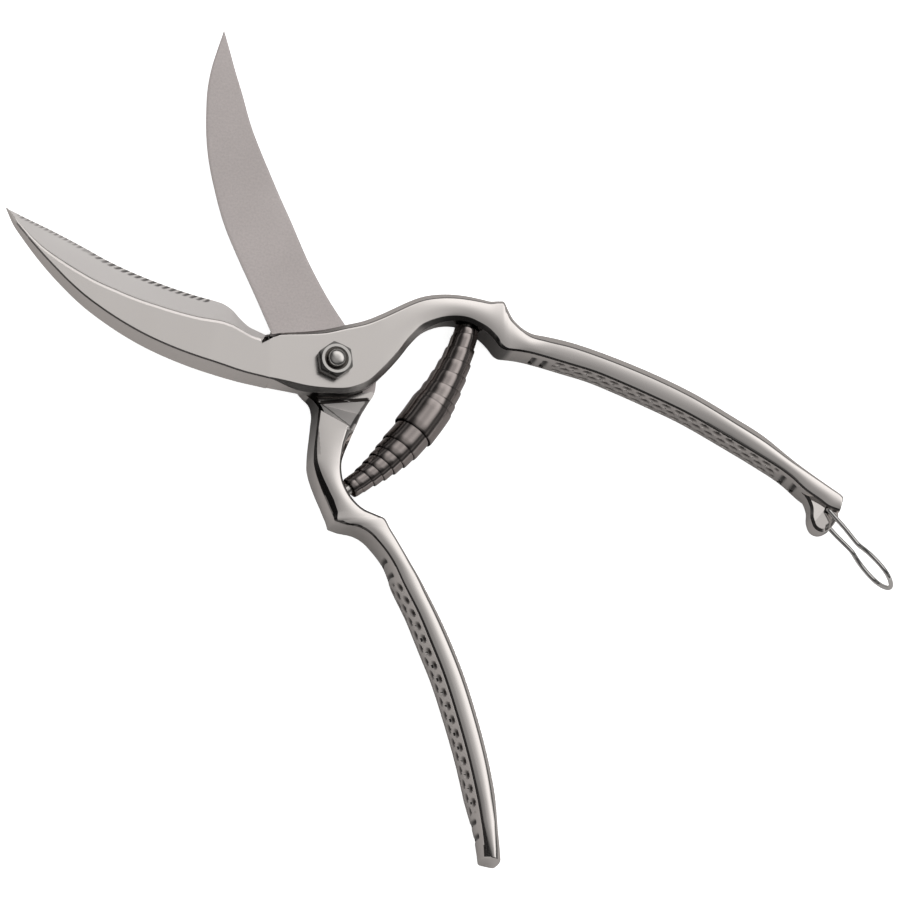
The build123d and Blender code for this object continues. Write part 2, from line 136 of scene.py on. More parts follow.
def steps(count):
    """Even shares from 0 up to, but without, 1."""
    return np.linspace(0, 1, count + 1)[:-1]


def circle(radius, z, count, centre=(0, 0)):
    angle = np.linspace(0, 2 * math.pi, count + 1)[:-1]
    return np.stack([centre[0] + radius * np.cos(angle), centre[1] + radius * np.sin(angle),
                     z + 0 * angle], 1)


def line_distance(x, y, line):
    (ax, ay), (bx, by) = line
    dx, dy = bx - ax, by - ay
    t = max(0.0, min(1.0, ((x - ax) * dx + (y - ay) * dy) / (dx ** 2 + dy ** 2)))
    return math.hypot(x - ax - dx * t, y - ay - dy * t)


# ------------------------------------------------------------------ mesh helpers
def new_object(name, verts_mm, faces, attributes=None):
    mesh = bpy.data.meshes.new(name)
    mesh.from_pydata([tuple(v) for v in (np.asarray(verts_mm, float) * MM)], [], faces)
    mesh.update()
    for key, values in (attributes or {}).items():
        layer = mesh.attributes.new(key, "FLOAT", "POINT")
        layer.data.foreach_set("value", np.asarray(values, np.float32))
    obj = bpy.data.objects.new(name, mesh)
    bpy.context.scene.collection.objects.link(obj)
    return obj


@contextmanager
def editing(mesh):
    """The mesh as a bmesh, written back at the end."""
    bm = bmesh.new()
    bm.from_mesh(mesh)
    yield bm
    bm.to_mesh(mesh)
    bm.free()


def in_mm(point):
    return point.x / MM, point.y / MM, point.z / MM


def shade(obj, angle=28.0, blade_to=None):
    """Smooth shading with edges sharper than the angle (degrees) kept crisp.

    Above the slide height and left of x = blade_to, a much smaller angle counts as sharp."""
    with editing(obj.data) as bm:
        bmesh.ops.recalc_face_normals(bm, faces=bm.faces)
        for face in bm.faces:
            face.smooth = True
        for edge in bm.edges:
            x, _, z = in_mm(edge.verts[0].co)
            on_blade = blade_to is not None and x < blade_to and z > 6.05
            limit = math.radians(9.0 if on_blade else angle)
            edge.smooth = not (len(edge.link_faces) == 2 and edge.calc_face_angle(0.0) > limit)
    obj.data.update()


def bands(stations, size, closed=False):
    """Quads between neighbouring rings. Closed also joins the last ring to the first."""
    faces = []
    for i in range(stations if closed else stations - 1):
        a, b = i * size, (i + 1) % stations * size
        for j in range(size):
            k = (j + 1) % size
            faces.append((a + j, a + k, b + k, b + j))
    return faces


def loft(name, rings, attributes=None):
    """Skin over rings (stations, points, 3) with a fan at each end."""
    stations, size, _ = rings.shape
    first_hub = stations * size
    last = first_hub - size
    faces = bands(stations, size)
    faces += [((j + 1) % size, j, first_hub) for j in range(size)]
    faces += [(last + j, last + (j + 1) % size, first_hub + 1) for j in range(size)]
    verts = np.vstack([rings.reshape(-1, 3), rings[0].mean(0), rings[-1].mean(0)])
    values = {key: np.r_[np.asarray(v, float).ravel(), np.zeros(2)]
              for key, v in (attributes or {}).items()}
    return new_object(name, verts, faces, values)


def closed_loft(name, rings):
    stations, size, _ = rings.shape
    return new_object(name, rings.reshape(-1, 3), bands(stations, size, closed=True))


def lathe(name, profile, count=72, centre=(0, 0)):
    """Solid of revolution from a profile of (radius, z)."""
    return loft(name, np.array([circle(r, z, count, centre) for r, z in profile]))


def join(objs, name):
    """One mesh from several, keeping attributes that all of them have."""
    bm = bmesh.new()
    for obj in objs:
        bm.from_mesh(obj.data)
    mesh = bpy.data.meshes.new(name)
    bm.to_mesh(mesh)
    bm.free()
    joined = bpy.data.objects.new(name, mesh)
    bpy.context.scene.collection.objects.link(joined)
    for obj in objs:
        bpy.data.objects.remove(obj, do_unlink=True)
    return joined


def cut(obj, cutter):
    modifier = obj.modifiers.new("cut", "BOOLEAN")
    modifier.object = cutter
    modifier.operation = "DIFFERENCE"
    modifier.solver = "EXACT"
    bpy.context.view_layer.update()
    graph = bpy.context.evaluated_depsgraph_get()
    mesh = bpy.data.meshes.new_from_object(obj.evaluated_get(graph), depsgraph=graph)
    obj.modifiers.clear()
    old = obj.data
    obj.data = mesh
    bpy.data.meshes.remove(old)
    bpy.data.objects.remove(cutter, do_unlink=True)


def parts_of(faces):
    parts = set(faces)
    for face in list(parts):
        parts.update(face.edges)
        parts.update(face.verts)
    return list(parts)


def split(bm, parts, point, normal):
    """Adds edges where an upright plane, through a plan point, crosses the given parts."""
    bmesh.ops.bisect_plane(bm, geom=parts, dist=1e-7, plane_co=(point[0] * MM, point[1] * MM, 0),
                           plane_no=(normal[0], normal[1], 0))


# ------------------------------------------------------------------ cross-sections of a lever
# A section runs round from the foot of the cutting-edge side, up its wall, over the top, down the
# spine side and back underneath. Bars carry on from both sides of their blades.
# Points per part of a section; blades and bars must have the same total.
WALL, BEVEL, BAND, FACE, SPINE_BEVEL, UNDERSIDE, CORNER = 26, 6, 18, 12, 5, 10, 4

# Bevel shapes, as shares of its width and height
SOFT = [(0, 0), (0.25, 0.30), (0.5, 0.58), (0.68, 0.78), (0.82, 0.90), (0.92, 0.965)]
CRISP = [(t, t) for t in (0, 0.2, 0.4, 0.6, 0.8, 0.97)]

EDGE_H = 0.30          # thickness of a blade at its cutting edge
HOLLOW = 0.35          # depth of the hollow grind

# One side of a bar: width and drop of its top bevel, bulge of the wall at mid-height,
# lean of the wall inwards at the top, grip(z) = depth of the pattern, shape of the bevel
Side = namedtuple("Side", "bevel drop bulge lean grip shape")


class Section:
    """Points of a section, each held as arrays over all the stations."""

    def __init__(self, first, second):
        """first, second: rails in plan, on the cutting-edge side and the spine side."""
        self.first = first
        self.across = unit(second - first)
        self.width = np.hypot(*(second - first).T)
        self.zero = np.zeros(len(first))
        self.points, self.shade_amounts = [], []

    def add(self, across, z, shade_amount=0.0):
        """A point at a distance from the first rail. The last argument: painted shade, how dark it is in the
        recesses.
        """
        distance = across + self.zero
        self.points.append(np.stack([self.first[:, 0] + self.across[:, 0] * distance,
                                     self.first[:, 1] + self.across[:, 1] * distance,
                                     z + self.zero], 1))
        self.shade_amounts.append(shade_amount + self.zero)

    def rings(self):
        return np.stack(self.points, 1), np.stack(self.shade_amounts, 1)


def bar_rings(first, second, z_low, z_top, edge, spine, under, crown, ridge, peak=0.0):
    """Plate, arch and handle. under: size of the lower chamfers. ridge: share of the width at
    which point spacing changes. peak moves the top of the crowned face to the edge side (-1)
    or the spine side (+1)."""
    section = Section(first, second)
    add, width = section.add, section.width
    half = (width - edge.bevel - spine.bevel) / 2
    middle = edge.bevel + half * (1 + peak)
    z_edge = z_top - crown * (1 + peak) ** 2
    z_spine = z_top - crown * (1 - peak) ** 2

    def add_face(across):
        add(across, z_top - crown * ((across - middle) / half) ** 2)

    # the depth of the grip pattern also paints shade into its recesses
    for t in steps(WALL):
        z = z_low + under + t * (z_edge - edge.drop - z_low - under)
        depth = edge.grip(z)
        add(edge.bulge * (2 * t - 1) ** 2 + edge.lean * t + depth, z, depth)
    for along, up in edge.shape:
        add(edge.bulge + edge.lean + (edge.bevel - edge.bulge - edge.lean) * along,
            z_edge - edge.drop + edge.drop * up)
    for t in steps(BAND):
        add_face(edge.bevel + t * (ridge * width - edge.bevel))
    for t in steps(FACE):
        add_face(ridge * width + t * (width - spine.bevel - ridge * width))
    for along, up in [(1, 1)] + spine.shape[-2:0:-1]:
        add(width - spine.bulge - spine.lean - (spine.bevel - spine.bulge - spine.lean) * along,
            z_spine - spine.drop + spine.drop * up)
    # here too the grip depth paints shade into the recesses
    for t in steps(WALL):
        z = z_spine - spine.drop + t * (z_low + under - z_spine + spine.drop)
        depth = spine.grip(z)
        add(width - spine.bulge * (2 * t - 1) ** 2 - spine.lean * (1 - t) - depth, z, depth)
    for t in steps(CORNER):
        add(width - spine.bulge - t * under, z_low + under * (1 - t))
    foot_spine, foot_edge = width - spine.bulge - under, edge.bulge + under
    for t in steps(UNDERSIDE):
        add(foot_spine + (foot_edge - foot_spine) * t, z_low)
    for t in steps(CORNER):
        add(edge.bulge + under * (1 - t), z_low + under * t)
    return section.rings()


def ground_height(share, edge_h, ridge_h, width):
    """Hollow-ground face between the cutting edge and the ridge."""
    sag = 4 * HOLLOW * share * (1 - share) * np.clip(width / 14, 0, 1)
    return edge_h + (ridge_h - edge_h) * share - sag


def end_rings(rings, shade_amounts, out, direction, count=4):
    """Rounds the last station over: rings shrink towards their middle while moving out."""
    last = rings[-1]
    centre = last.mean(0)
    more = []
    for i in range(1, count + 1):
        angle = i / count * math.pi / 2
        shrink = 1 - (1 - math.cos(angle)) * out
        scale = np.array([shrink, shrink, 1 - (1 - shrink) * 0.6])
        move = np.array([*direction, 0]) * out * 3.0 * math.sin(angle)
        more.append(centre + (last - centre) * scale + move)
    return (np.concatenate([rings, np.array(more)]),
            np.concatenate([shade_amounts, np.zeros((count, shade_amounts.shape[1]))]))


def blade_stations(edge, spine, step):
    """Matching points on both rails of a blade, by share of length, evenly spaced."""
    shares = np.linspace(0, 1, int(chord(edge)[-1] / step) + 1)

    def evenly(rail):
        knots = chord(rail)
        dense = spline(knots, rail, np.linspace(0, 1, 4001) * knots[-1])
        run = chord(dense)
        at = shares * run[-1]
        return np.stack([np.interp(at, run, dense[:, i]) for i in (0, 1)], 1), at

    edge_points, along = evenly(edge)
    return shares, edge_points, evenly(spine)[0], along


def bar_stations(rows, spacings):
    """Rails and numbers of a bar, resampled along it. spacings: (distance from, spacing)."""
    first, second, numbers = rows[:, :2], rows[:, 2:4], rows[:, 4:]
    knots = chord((first + second) / 2)
    run = [0.0]
    while run[-1] < knots[-1] - 1e-6:
        spacing = [s for start, s in spacings if run[-1] >= start][-1]
        run.append(min(run[-1] + spacing, knots[-1]))
    run = np.array(run)
    sampled = [np.interp(run, knots, column) for column in numbers.T]
    return run, spline(knots, first, run), spline(knots, second, run), np.array(sampled)


def squareness(rail, other):
    """Sine of the angle between a rail and the sections that cross it."""
    tangent = unit(np.gradient(rail, axis=0))
    across = unit(other - rail)
    sine = tangent[:, 0] * across[:, 1] - tangent[:, 1] * across[:, 0]
    return np.clip(np.abs(sine), 0.25, 1.0)


# ------------------------------------------------------------------ grip pattern
KNURL_PITCH = 4.05
KNURL_ROWS = ((-3.1, 0.5), (0.0, 0.0), (3.1, 0.5))     # height from mid-wall, shift in pitches
DIMPLE_HALF = (1.45, 1.2)                              # along the wall, in height
DIMPLE_DEPTH, NET_DEPTH = 0.60, 0.14
GROOVE_HALF, GROOVE_DEPTH = 0.85, 0.62
KNURL_GAP = 2.0                                        # from the inner grooves to the knurling


def knurl(along, start, end, z):
    """Depth of staggered dimples with a fine diagonal net between them."""
    up = z - MID_Z
    dimples = np.zeros(len(along))
    for row, shift in KNURL_ROWS:
        offset = off_pitch(along - start, KNURL_PITCH, shift)
        reach = (offset / DIMPLE_HALF[0]) ** 2 + ((up - row) / DIMPLE_HALF[1]) ** 2
        dimples = np.maximum(dimples, hump(reach, 1) ** 0.6)
    lines = [np.abs(((along + slant) / (KNURL_PITCH / 2)) % 1 - 0.5)
             for slant in (up * 1.3, -up * 1.3)]
    net = np.clip(1 - np.minimum(*lines) / 0.10, 0, 1) * NET_DEPTH
    inside = rise(along - start, 0, 0.8) * rise(end - along, 0, 0.8)
    return (dimples * DIMPLE_DEPTH + net * (dimples < 0.05)) * inside * rise(5.2 - np.abs(up), 0, 0.5)


def grip(rail, along, groove_points):
    """Four upright grooves at the given plan points, and knurling between the middle two."""
    centres = [float(along[np.argmin(np.hypot(rail[:, 0] - x, rail[:, 1] - y))])
               for x, y in groove_points]

    def depth(z):
        grooves = np.maximum.reduce([hump((along - c) / GROOVE_HALF) ** 0.6 for c in centres])
        grooves = grooves * GROOVE_DEPTH * rise(9.0 - z, 0, 1.2)
        dimples = knurl(along, centres[1] + KNURL_GAP, centres[2] - KNURL_GAP, z)
        return np.maximum(dimples, grooves)

    return depth


# ------------------------------------------------------------------ front blade
# Plan outlines from tip to heel (x, y)
FRONT_EDGE = [
    (-91.6, 43.5), (-85.5, 40.6), (-79.5, 37.8), (-70.1, 33.0), (-63.0, 29.1), (-56.0, 25.9),
    (-46.5, 22.3), (-37.1, 19.4), (-32.5, 18.25), (-30.4, 17.6), (-27.6, 15.8), (-25.3, 13.2),
    (-23.0, 11.1), (-19.8, 9.5), (-18.2, 8.75)]
FRONT_SPINE = [
    (-91.55, 43.2), (-89.6, 38.6), (-86.7, 34.2), (-83.6, 29.9), (-79.8, 25.2), (-75.4, 20.4),
    (-70.6, 15.8), (-66.0, 12.2), (-61.2, 8.9), (-54.2, 4.8), (-47.1, 1.5), (-40.0, -1.2),
    (-32.9, -3.4), (-26.5, -5.1), (-20.2, -6.4), (-18.6, -6.75)]
# Both blades: share of length from the tip, then thickness; crest and ridge of the ground band
# as shares of the width from the spine
BLADE_THICKNESS = [
    (0.0, 1.2), (0.05, 2.4), (0.12, 3.2), (0.25, 4.2), (0.4, 4.9), (0.6, 5.4), (0.8, 5.8),
    (1.0, 6.0)]
CREST = [
    (0.0, 0.42), (0.06, 0.22), (0.12, 0.16), (0.3, 0.115), (0.6, 0.112), (0.9, 0.115),
    (1.0, 0.118)]
GRIND = [
    (0.0, 0.44), (0.06, 0.235), (0.12, 0.18), (0.17, 0.20), (0.24, 0.27), (0.33, 0.36),
    (0.45, 0.46), (0.6, 0.545), (0.75, 0.60), (0.84, 0.655), (0.9, 0.70), (1.0, 0.735)]
TEETH_END = 63.2       # distance from the tip at which the serrations end
HEEL_LENGTH = 2.3      # the ground band closes over this length before the plate
# Closely spaced points over the serrations, by distance from the edge
TOOTH_POINTS = np.r_[np.linspace(0.0, 1.0, 7)[1:] * 0.9, 0.9 + np.linspace(0, 1, 9)[1:] * 1.7]


def serrations(along, inward):
    """Depth of the slanting grooves: fine near the tip, turning coarse further back."""
    coarse_share = rise(along, 18, 18)
    coarse = (hump(off_pitch(along + inward * 1.25 - TEETH_END, 2.05) / 0.56) ** 0.5 * 0.5
              * hump(inward / 1.5, 4) * smooth(inward / 0.16))
    fine = hump(off_pitch(along + inward, 1.5) / 0.55) * 0.34 * hump(inward / 1.25, 3)
    ends = rise(along, 3.0, 2.0) * rise(TEETH_END - along, 0, 0.5)
    return (coarse * coarse_share + fine * (1 - coarse_share)) * ends


def front_blade():
    share, edge, spine, along = blade_stations(FRONT_EDGE, FRONT_SPINE, step=0.2)
    section = Section(edge, spine)
    width, zero = section.width, section.zero
    thick = interp(BLADE_THICKNESS, share)
    ridge = width * (1 - interp(GRIND, share))
    crest = width * (1 - interp(CREST, share))
    lip = 0.7 * np.clip(width / 12, 0.15, 1)     # polished roll-over from ground band to face
    edge_h = np.minimum(EDGE_H, thick * 0.5)

    # at the heel the band stops short of its ridge, at a small cliff
    heel_span = [along[-1] - HEEL_LENGTH, along[-1]]
    at_heel = along >= heel_span[0]
    heel_start = float(np.interp(heel_span[0], along, ridge))
    stop = np.where(at_heel, np.interp(along, heel_span, [heel_start, 0.12]), ridge - lip)
    shelf = np.where(at_heel, np.interp(along, heel_span, [heel_start, 2.1]), ridge) + 0.01
    # painted shade along the small cliff at the heel
    cliff_dark = np.where(at_heel, 0.6, 0.0)

    def add(across, height, shade_amount=0.0):
        section.add(across, SLIDE + height, shade_amount)

    def ground(across):
        at = np.clip(across / (ridge - lip), 0, 1)
        height = ground_height(at, edge_h, thick - 0.21 * lip, width)
        depth = serrations(along, across)
        return np.maximum(height - depth, 0.03), depth

    # the depth of the serrations also paints shade into their grooves
    height, depth = ground(zero)
    for t in steps(WALL):
        add(zero, height * t, depth)
    add(zero, height, depth)
    for i, distance in enumerate(TOOTH_POINTS):
        across = np.minimum(distance, stop * (i + 1) / (BEVEL + BAND))
        add(across, *ground(across))
    rest = BEVEL - 1 + BAND - len(TOOTH_POINTS)
    for i in range(rest):
        at = across + (stop - across) * ((i + 1) / rest)
        height, depth = ground(at)
        add(at, height, depth + (cliff_dark if i == rest - 1 else 0))
    for t in steps(FACE):
        add(shelf + (crest - shelf) * t, thick, cliff_dark if t == 0 else 0.0)
    bevel = np.minimum(0.42, thick * 0.2)
    for t in steps(SPINE_BEVEL):
        add(crest + bevel * t, thick - bevel * t)
    foot = 0.12
    for t in steps(WALL):
        add((crest + bevel) + (width - crest - bevel) * t, (thick - bevel) * (1 - t) + foot * t)
    for t in steps(CORNER):
        add(width - foot * t, foot * (1 - t))
    for t in steps(UNDERSIDE):
        add((width - foot) * (1 - t), 0)
    for t in steps(CORNER):
        add(zero, 0)
    return section.rings()


# ------------------------------------------------------------------ front plate, arch and handle
# Plan point on the +y side (x, y), on the -y side (x, y), z of the underside,
# bevel width on the +y side and on the -y side, drop of the +y bevel, crown of the face
FRONT_BAR = np.array([
    [-18.1, 8.6, -18.55, -6.8, 6.0, 1.85, 1.9, 4.6, 0.0],
    [-17.0, 8.25, -17.6, -6.95, 6.0, 1.6, 1.9, 2.6, 0.0],
    [-15.2, 8.15, -16.1, -7.2, 6.0, 0.85, 1.9, 1.0, 0.0],
    [-12.5, 8.35, -12.8, -7.75, 6.0, 0.85, 1.8, 1.0, 0.0],
    [-9.5, 8.6, -8.9, -8.4, 6.0, 1.0, 1.6, 1.1, 0.0],
    [-2.0, 9.7, -1.5, -8.8, 6.0, 1.5, 1.3, 1.6, 0.0],
    [3.7, 11.1, 4.5, -8.5, 6.0, 1.5, 1.3, 1.6, 0.0],
    [9.4, 12.6, 10.5, -6.2, 6.0, 1.6, 1.5, 1.6, 0.0],
    [14.0, 14.5, 15.2, -2.1, 6.0, 1.6, 1.6, 1.6, 0.0],
    [18.5, 16.7, 19.3, 2.3, 6.0, 1.6, 1.6, 1.6, 0.05],
    [22.4, 18.6, 22.9, 6.8, 6.0, 1.6, 1.6, 1.6, 0.1],
    [26.0, 20.0, 26.4, 10.3, 5.4, 1.6, 1.5, 1.6, 0.15],
    [30.0, 20.8, 30.5, 12.4, 4.6, 1.6, 1.3, 1.6, 0.2],
    [34.5, 21.0, 34.5, 13.3, 3.4, 1.5, 1.2, 1.6, 0.25],
    [39.0, 20.6, 38.5, 13.2, 1.8, 1.4, 1.1, 1.5, 0.25],
    [43.0, 19.8, 41.6, 12.0, 0.4, 1.2, 1.1, 1.4, 0.25],
    [46.0, 19.15, 44.5, 10.2, 0.0, 1.0, 1.1, 1.2, 0.25],
    [48.1, 19.25, 46.6, 8.0, 0.0, 0.8, 1.1, 1.0, 0.25],
    [49.7, 19.05, 48.2, 5.9, 0.0, 0.9, 1.0, 1.0, 0.25],
    [50.5, 17.5, 49.4, 5.1, 0.0, 1.1, 0.8, 1.1, 0.25],
    [51.9, 14.8, 51.2, 4.8, 0.0, 1.3, 0.5, 1.3, 0.25],
    [54.1, 12.5, 53.4, 4.5, 0.0, 1.5, 0.4, 1.5, 0.25],
    [57.3, 10.5, 56.5, 3.9, 0.0, 1.5, 0.4, 1.5, 0.25],
    [61.7, 9.2, 60.6, 2.9, 0.0, 1.5, 0.4, 1.5, 0.15],
    [68.4, 7.7, 66.8, 1.2, 0.0, 1.5, 0.4, 1.5, 0.15],
    [77.1, 5.0, 75.2, -1.2, 0.0, 1.4, 0.4, 1.5, 0.15],
    [85.8, 1.8, 83.6, -4.5, 0.0, 1.4, 0.4, 1.4, 0.15],
    [94.5, -1.8, 92.0, -8.1, 0.0, 1.3, 0.4, 1.4, 0.15],
    [103.3, -6.0, 100.5, -12.0, 0.0, 1.2, 0.4, 1.3, 0.15],
    [116.0, -13.4, 112.9, -18.9, 0.0, 1.0, 0.4, 1.2, 0.25],
    [125.1, -19.0, 121.9, -24.2, 0.0, 0.9, 0.4, 1.1, 0.25],
    [133.8, -25.6, 130.3, -29.6, 0.0, 0.8, 0.4, 1.0, 0.25],
    [139.3, -30.0, 135.2, -33.8, 0.0, 0.8, 0.5, 1.0, 0.25],
    [143.0, -32.8, 138.8, -36.2, 0.0, 0.8, 0.5, 1.0, 0.25],
    [144.9, -34.2, 141.6, -38.2, 0.0, 0.8, 0.5, 1.0, 0.2],
    [145.6, -34.9, 144.4, -39.2, 0.0, 0.8, 0.5, 1.0, 0.2],
])
FRONT_GROOVES_UPPER = ((60.6, 9.5), (64.2, 8.7), (131.5, -23.8), (134.8, -26.4))   # +y side
FRONT_GROOVES_LOWER = ((58.6, 3.5), (61.8, 2.6), (129.4, -28.9), (132.4, -31.2))   # -y side


def darken_front_bar(shade_amounts, run, x):
    """Shadows on the bevel beside the blade and along the -y side of plate and arch."""
    near_blade = 0.8 * fall(run, 2.2, 1.4) + 0.3 * rise(run, 2.2, 1.4) * fall(run, 18, 10)
    shade_amounts[:, WALL - 1:WALL + BEVEL] = near_blade[:, None]
    edge_dark = 0.35 * rise(x, 6, 4) * fall(x, 54, 3)
    wall_dark = np.maximum(0.5 * rise(x, 24, 12) * fall(x, 50.5, 2),
                           0.6 * rise(x, -9, 4) * fall(x, 9, 5))
    start = WALL + BEVEL + BAND + FACE + 1
    wall = start + SPINE_BEVEL
    for columns, dark in ((slice(start, wall), edge_dark),
                          (slice(wall, wall + WALL - 1), wall_dark)):
        shade_amounts[:, columns] = np.maximum(shade_amounts[:, columns], dark[:, None])


def front_bar():
    run, first, second, numbers = bar_stations(
        FRONT_BAR, ((0.0, 0.5), (70.0, 0.28), (160.0, 0.4)))
    z_low, edge_bevel, spine_bevel, edge_drop_rows, crown = numbers
    edge_grip = grip(first, chord(first), FRONT_GROOVES_UPPER)
    spine_grip = grip(second, chord(second), FRONT_GROOVES_LOWER)
    to_end = fall(run - run[-1], -25, 24)
    edge_bulge = 0.9 * rise(run, 72, 12) * to_end
    spine_bulge = 0.35 * rise(run, 72, 12) * to_end
    edge_bevel = np.maximum(edge_bevel * (0.4 + 0.6 * to_end), edge_bulge + 0.55 + 0.3 * to_end)
    spine_bevel = np.maximum(spine_bevel, spine_bulge + 0.5)
    edge_drop = np.minimum(edge_drop_rows, edge_bevel - edge_bulge)
    edge_drop = np.where(run < 3, edge_drop_rows, edge_drop)
    draft = np.maximum(spine_bevel - 0.42, 0) * fall(run, 0, 9)
    spine_drop = spine_bevel - spine_bulge - draft
    # sections cross the rails at a slant, so bevels widen to keep their true width
    widened = edge_bulge + (edge_bevel - edge_bulge) / squareness(first, second)
    edge_bevel = np.where(run > 3, widened, edge_bevel)
    spine_bevel = spine_bulge + draft + spine_drop / squareness(second, first)
    x = (first[:, 0] + second[:, 0]) / 2
    # broad rounded rim along the +y side of the handle
    rim = 1.3 * rise(x, 50, 14) * fall(x, 118, 16)
    first = first + unit(first - second) * rim[:, None]
    rings, shade_amounts = bar_rings(
        first, second, z_low, HANDLE_T,
        edge=Side(edge_bevel + rim, edge_drop + 0.75 * rim, edge_bulge, 0.0, edge_grip, SOFT),
        spine=Side(spine_bevel, spine_drop, spine_bulge, draft, spine_grip, CRISP),
        under=0.5 + 0.4 * fall(run, 26, 6), crown=crown, ridge=0.2 + 0.3 * rise(run, 0, 30),
        peak=-0.55 * rise(x, 56, 8) * (1 - 0.75 * rise(x, 108, 26)))
    darken_front_bar(shade_amounts, run, x)
    rings, shade_amounts = end_rings(rings, shade_amounts, out=0.10, direction=(0.80, -0.60))
    satin = np.zeros(shade_amounts.shape)
    satin[:len(run)] = (0.3 - 0.3 * rise(run, 40, 25))[:, None]
    return rings, shade_amounts, satin


# ------------------------------------------------------------------ nub on the front handle
# Rounded slab at the handle's end, pierced for the latch loop. Plan outline (x, y)
NUB = [
    (135.0, -30.6), (134.2, -32.6), (135.5, -34.6), (136.6, -37.7), (136.6, -41.3),
    (137.7, -43.8), (139.8, -44.7), (142.2, -43.8), (143.9, -41.8), (144.9, -39.8),
    (143.6, -37.0), (139.4, -33.0), (136.6, -30.2)]
NUB_CENTRE = np.array([140.2, -38.6])
NUB_SIDES = ((1.5, 1.3), (0.75, 1.55), (0.2, 2.3), (0.0, 3.2), (0.0, 5.0), (0.0, 7.0))  # inset, z
NUB_ROUND = 0.8        # inset and drop of the upper rim
CREASE_START, CREASE_END = (138.0, -41.6), (141.4, -37.5)
LOOP_HOLE = np.array([141.35, -38.75])
crease = Vector(np.subtract(CREASE_END, CREASE_START).tolist() + [0]).normalized()
CREASE_NORMAL = Vector((crease.y, -crease.x, 0))


def nub_top(x, y):
    """Two facets that fall away from the crease."""
    side = (x - CREASE_START[0]) * CREASE_NORMAL.x + (y - CREASE_START[1]) * CREASE_NORMAL.y
    return np.maximum(10.2 - np.where(side > 0, 0.34 * side, -0.17 * side), 8.7)


def build_nub():
    outline = spline_closed(NUB, 72)
    rim = inset(outline, NUB_ROUND)
    rings = [np.c_[inset(outline, d), np.full(len(outline), z)] for d, z in NUB_SIDES]
    rings.append(np.c_[outline, nub_top(*rim.T) - NUB_ROUND])
    for share in (1.0, 0.8, 0.6, 0.4, 0.2, 0.06):
        ring = NUB_CENTRE + (rim - NUB_CENTRE) * share
        rings.append(np.c_[ring, nub_top(*ring.T)])
    rings = np.array(rings)
    blank = np.zeros(rings.shape[:2])
    nub = loft("nub", rings, {"painted_shade": blank, "satin": blank})
    with editing(nub.data) as bm:
        split(bm, [*bm.verts, *bm.edges, *bm.faces], CREASE_START, CREASE_NORMAL)
        for vert in bm.verts:
            x, y, z = in_mm(vert.co)
            if z > 8.2 and np.hypot(outline[:, 0] - x, outline[:, 1] - y).min() > 0.6:
                vert.co.z = float(nub_top(x, y)) * MM
    cut(nub, lathe("c", ((0.95, -2.0), (0.95, 14.0)), 24, LOOP_HOLE))
    return nub


# ------------------------------------------------------------------ front lever
NOTCH = [(-20.28, 5.08), (-17.36, 6.62), (-18.96, 7.54)]       # corners in plan
NOTCH_FLOOR = 8.4
NOTCH_WALL = 0.12      # width in plan of its steep sides


def cut_notch(bm):
    """Three-cornered notch where the plate ends beside the ridge of the blade."""
    def nearby(face):
        x, y, z = in_mm(face.calc_center_median())
        return -21.5 < x < -16.2 and 4 < y < 9.0 and z > 7.9 and face.normal.z > 0.2

    sides = []
    for (ax, ay), (bx, by) in zip(NOTCH, NOTCH[1:] + NOTCH[:1]):
        size = math.hypot(bx - ax, by - ay)
        sides.append((ax, ay, (by - ay) / size, -(bx - ax) / size))
    for grow in (0.0, NOTCH_WALL):
        for ax, ay, nx, ny in sides:
            split(bm, parts_of(f for f in bm.faces if nearby(f)),
                  (ax + nx * grow, ay + ny * grow), (nx, ny))
    painted_shade = bm.verts.layers.float["painted_shade"]
    for vert in bm.verts:
        x, y, z = in_mm(vert.co)
        outside = max((x - ax) * nx + (y - ay) * ny for ax, ay, nx, ny in sides)
        # painted shade: the notch's floor and sides are coloured black
        if z > 7.5 and outside < 0.02:
            vert.co.z = min(vert.co.z, NOTCH_FLOOR * MM)
            vert[painted_shade] = 1.0


def build_front_lever():
    blade, blade_shade = front_blade()
    bar, bar_shade, bar_satin = front_bar()
    blade_satin = np.full(blade_shade.shape, 0.3)
    blade_satin[:, :WALL + BEVEL + BAND - 1] = 1.0
    # painted shade of blade and bar goes into the mesh as a point attribute
    forging = loft("front_lever_forging", np.concatenate([blade, bar]), {
        "painted_shade": np.concatenate([blade_shade, bar_shade]),
        "satin": np.concatenate([blade_satin, bar_satin])})
    nub = build_nub()
    cut(forging, lathe("c", ((2.56, 4.0), (2.56, 15.0)), 64))      # bolt hole
    front = join([forging, nub], "front_lever_forging")
    with editing(front.data) as bm:
        cut_notch(bm)
    shade(front, blade_to=-17.0)
    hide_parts("front_lever")
    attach(front, "front_body")
    return front


# ------------------------------------------------------------------ rear blade
# Plan outlines from tip to heel (x, y)
REAR_EDGE = [
    (-27.8, 97.4), (-30.0, 91.4), (-31.8, 85.8), (-33.0, 80.0), (-33.5, 74.1), (-33.7, 68.2),
    (-33.5, 62.4), (-32.9, 57.0), (-31.9, 51.6), (-29.3, 40.9), (-25.5, 31.0), (-21.6, 21.9),
    (-16.6, 9.9)]
REAR_SPINE = [
    (-27.7, 97.2), (-26.3, 91.8), (-24.9, 86.0), (-23.3, 80.2), (-20.3, 68.6), (-18.1, 62.4),
    (-15.7, 56.3), (-13.1, 49.7), (-10.3, 43.1), (-4.9, 29.9), (0.6, 19.2), (5.4, 11.6)]
REAR_TOP = SLIDE - 0.02


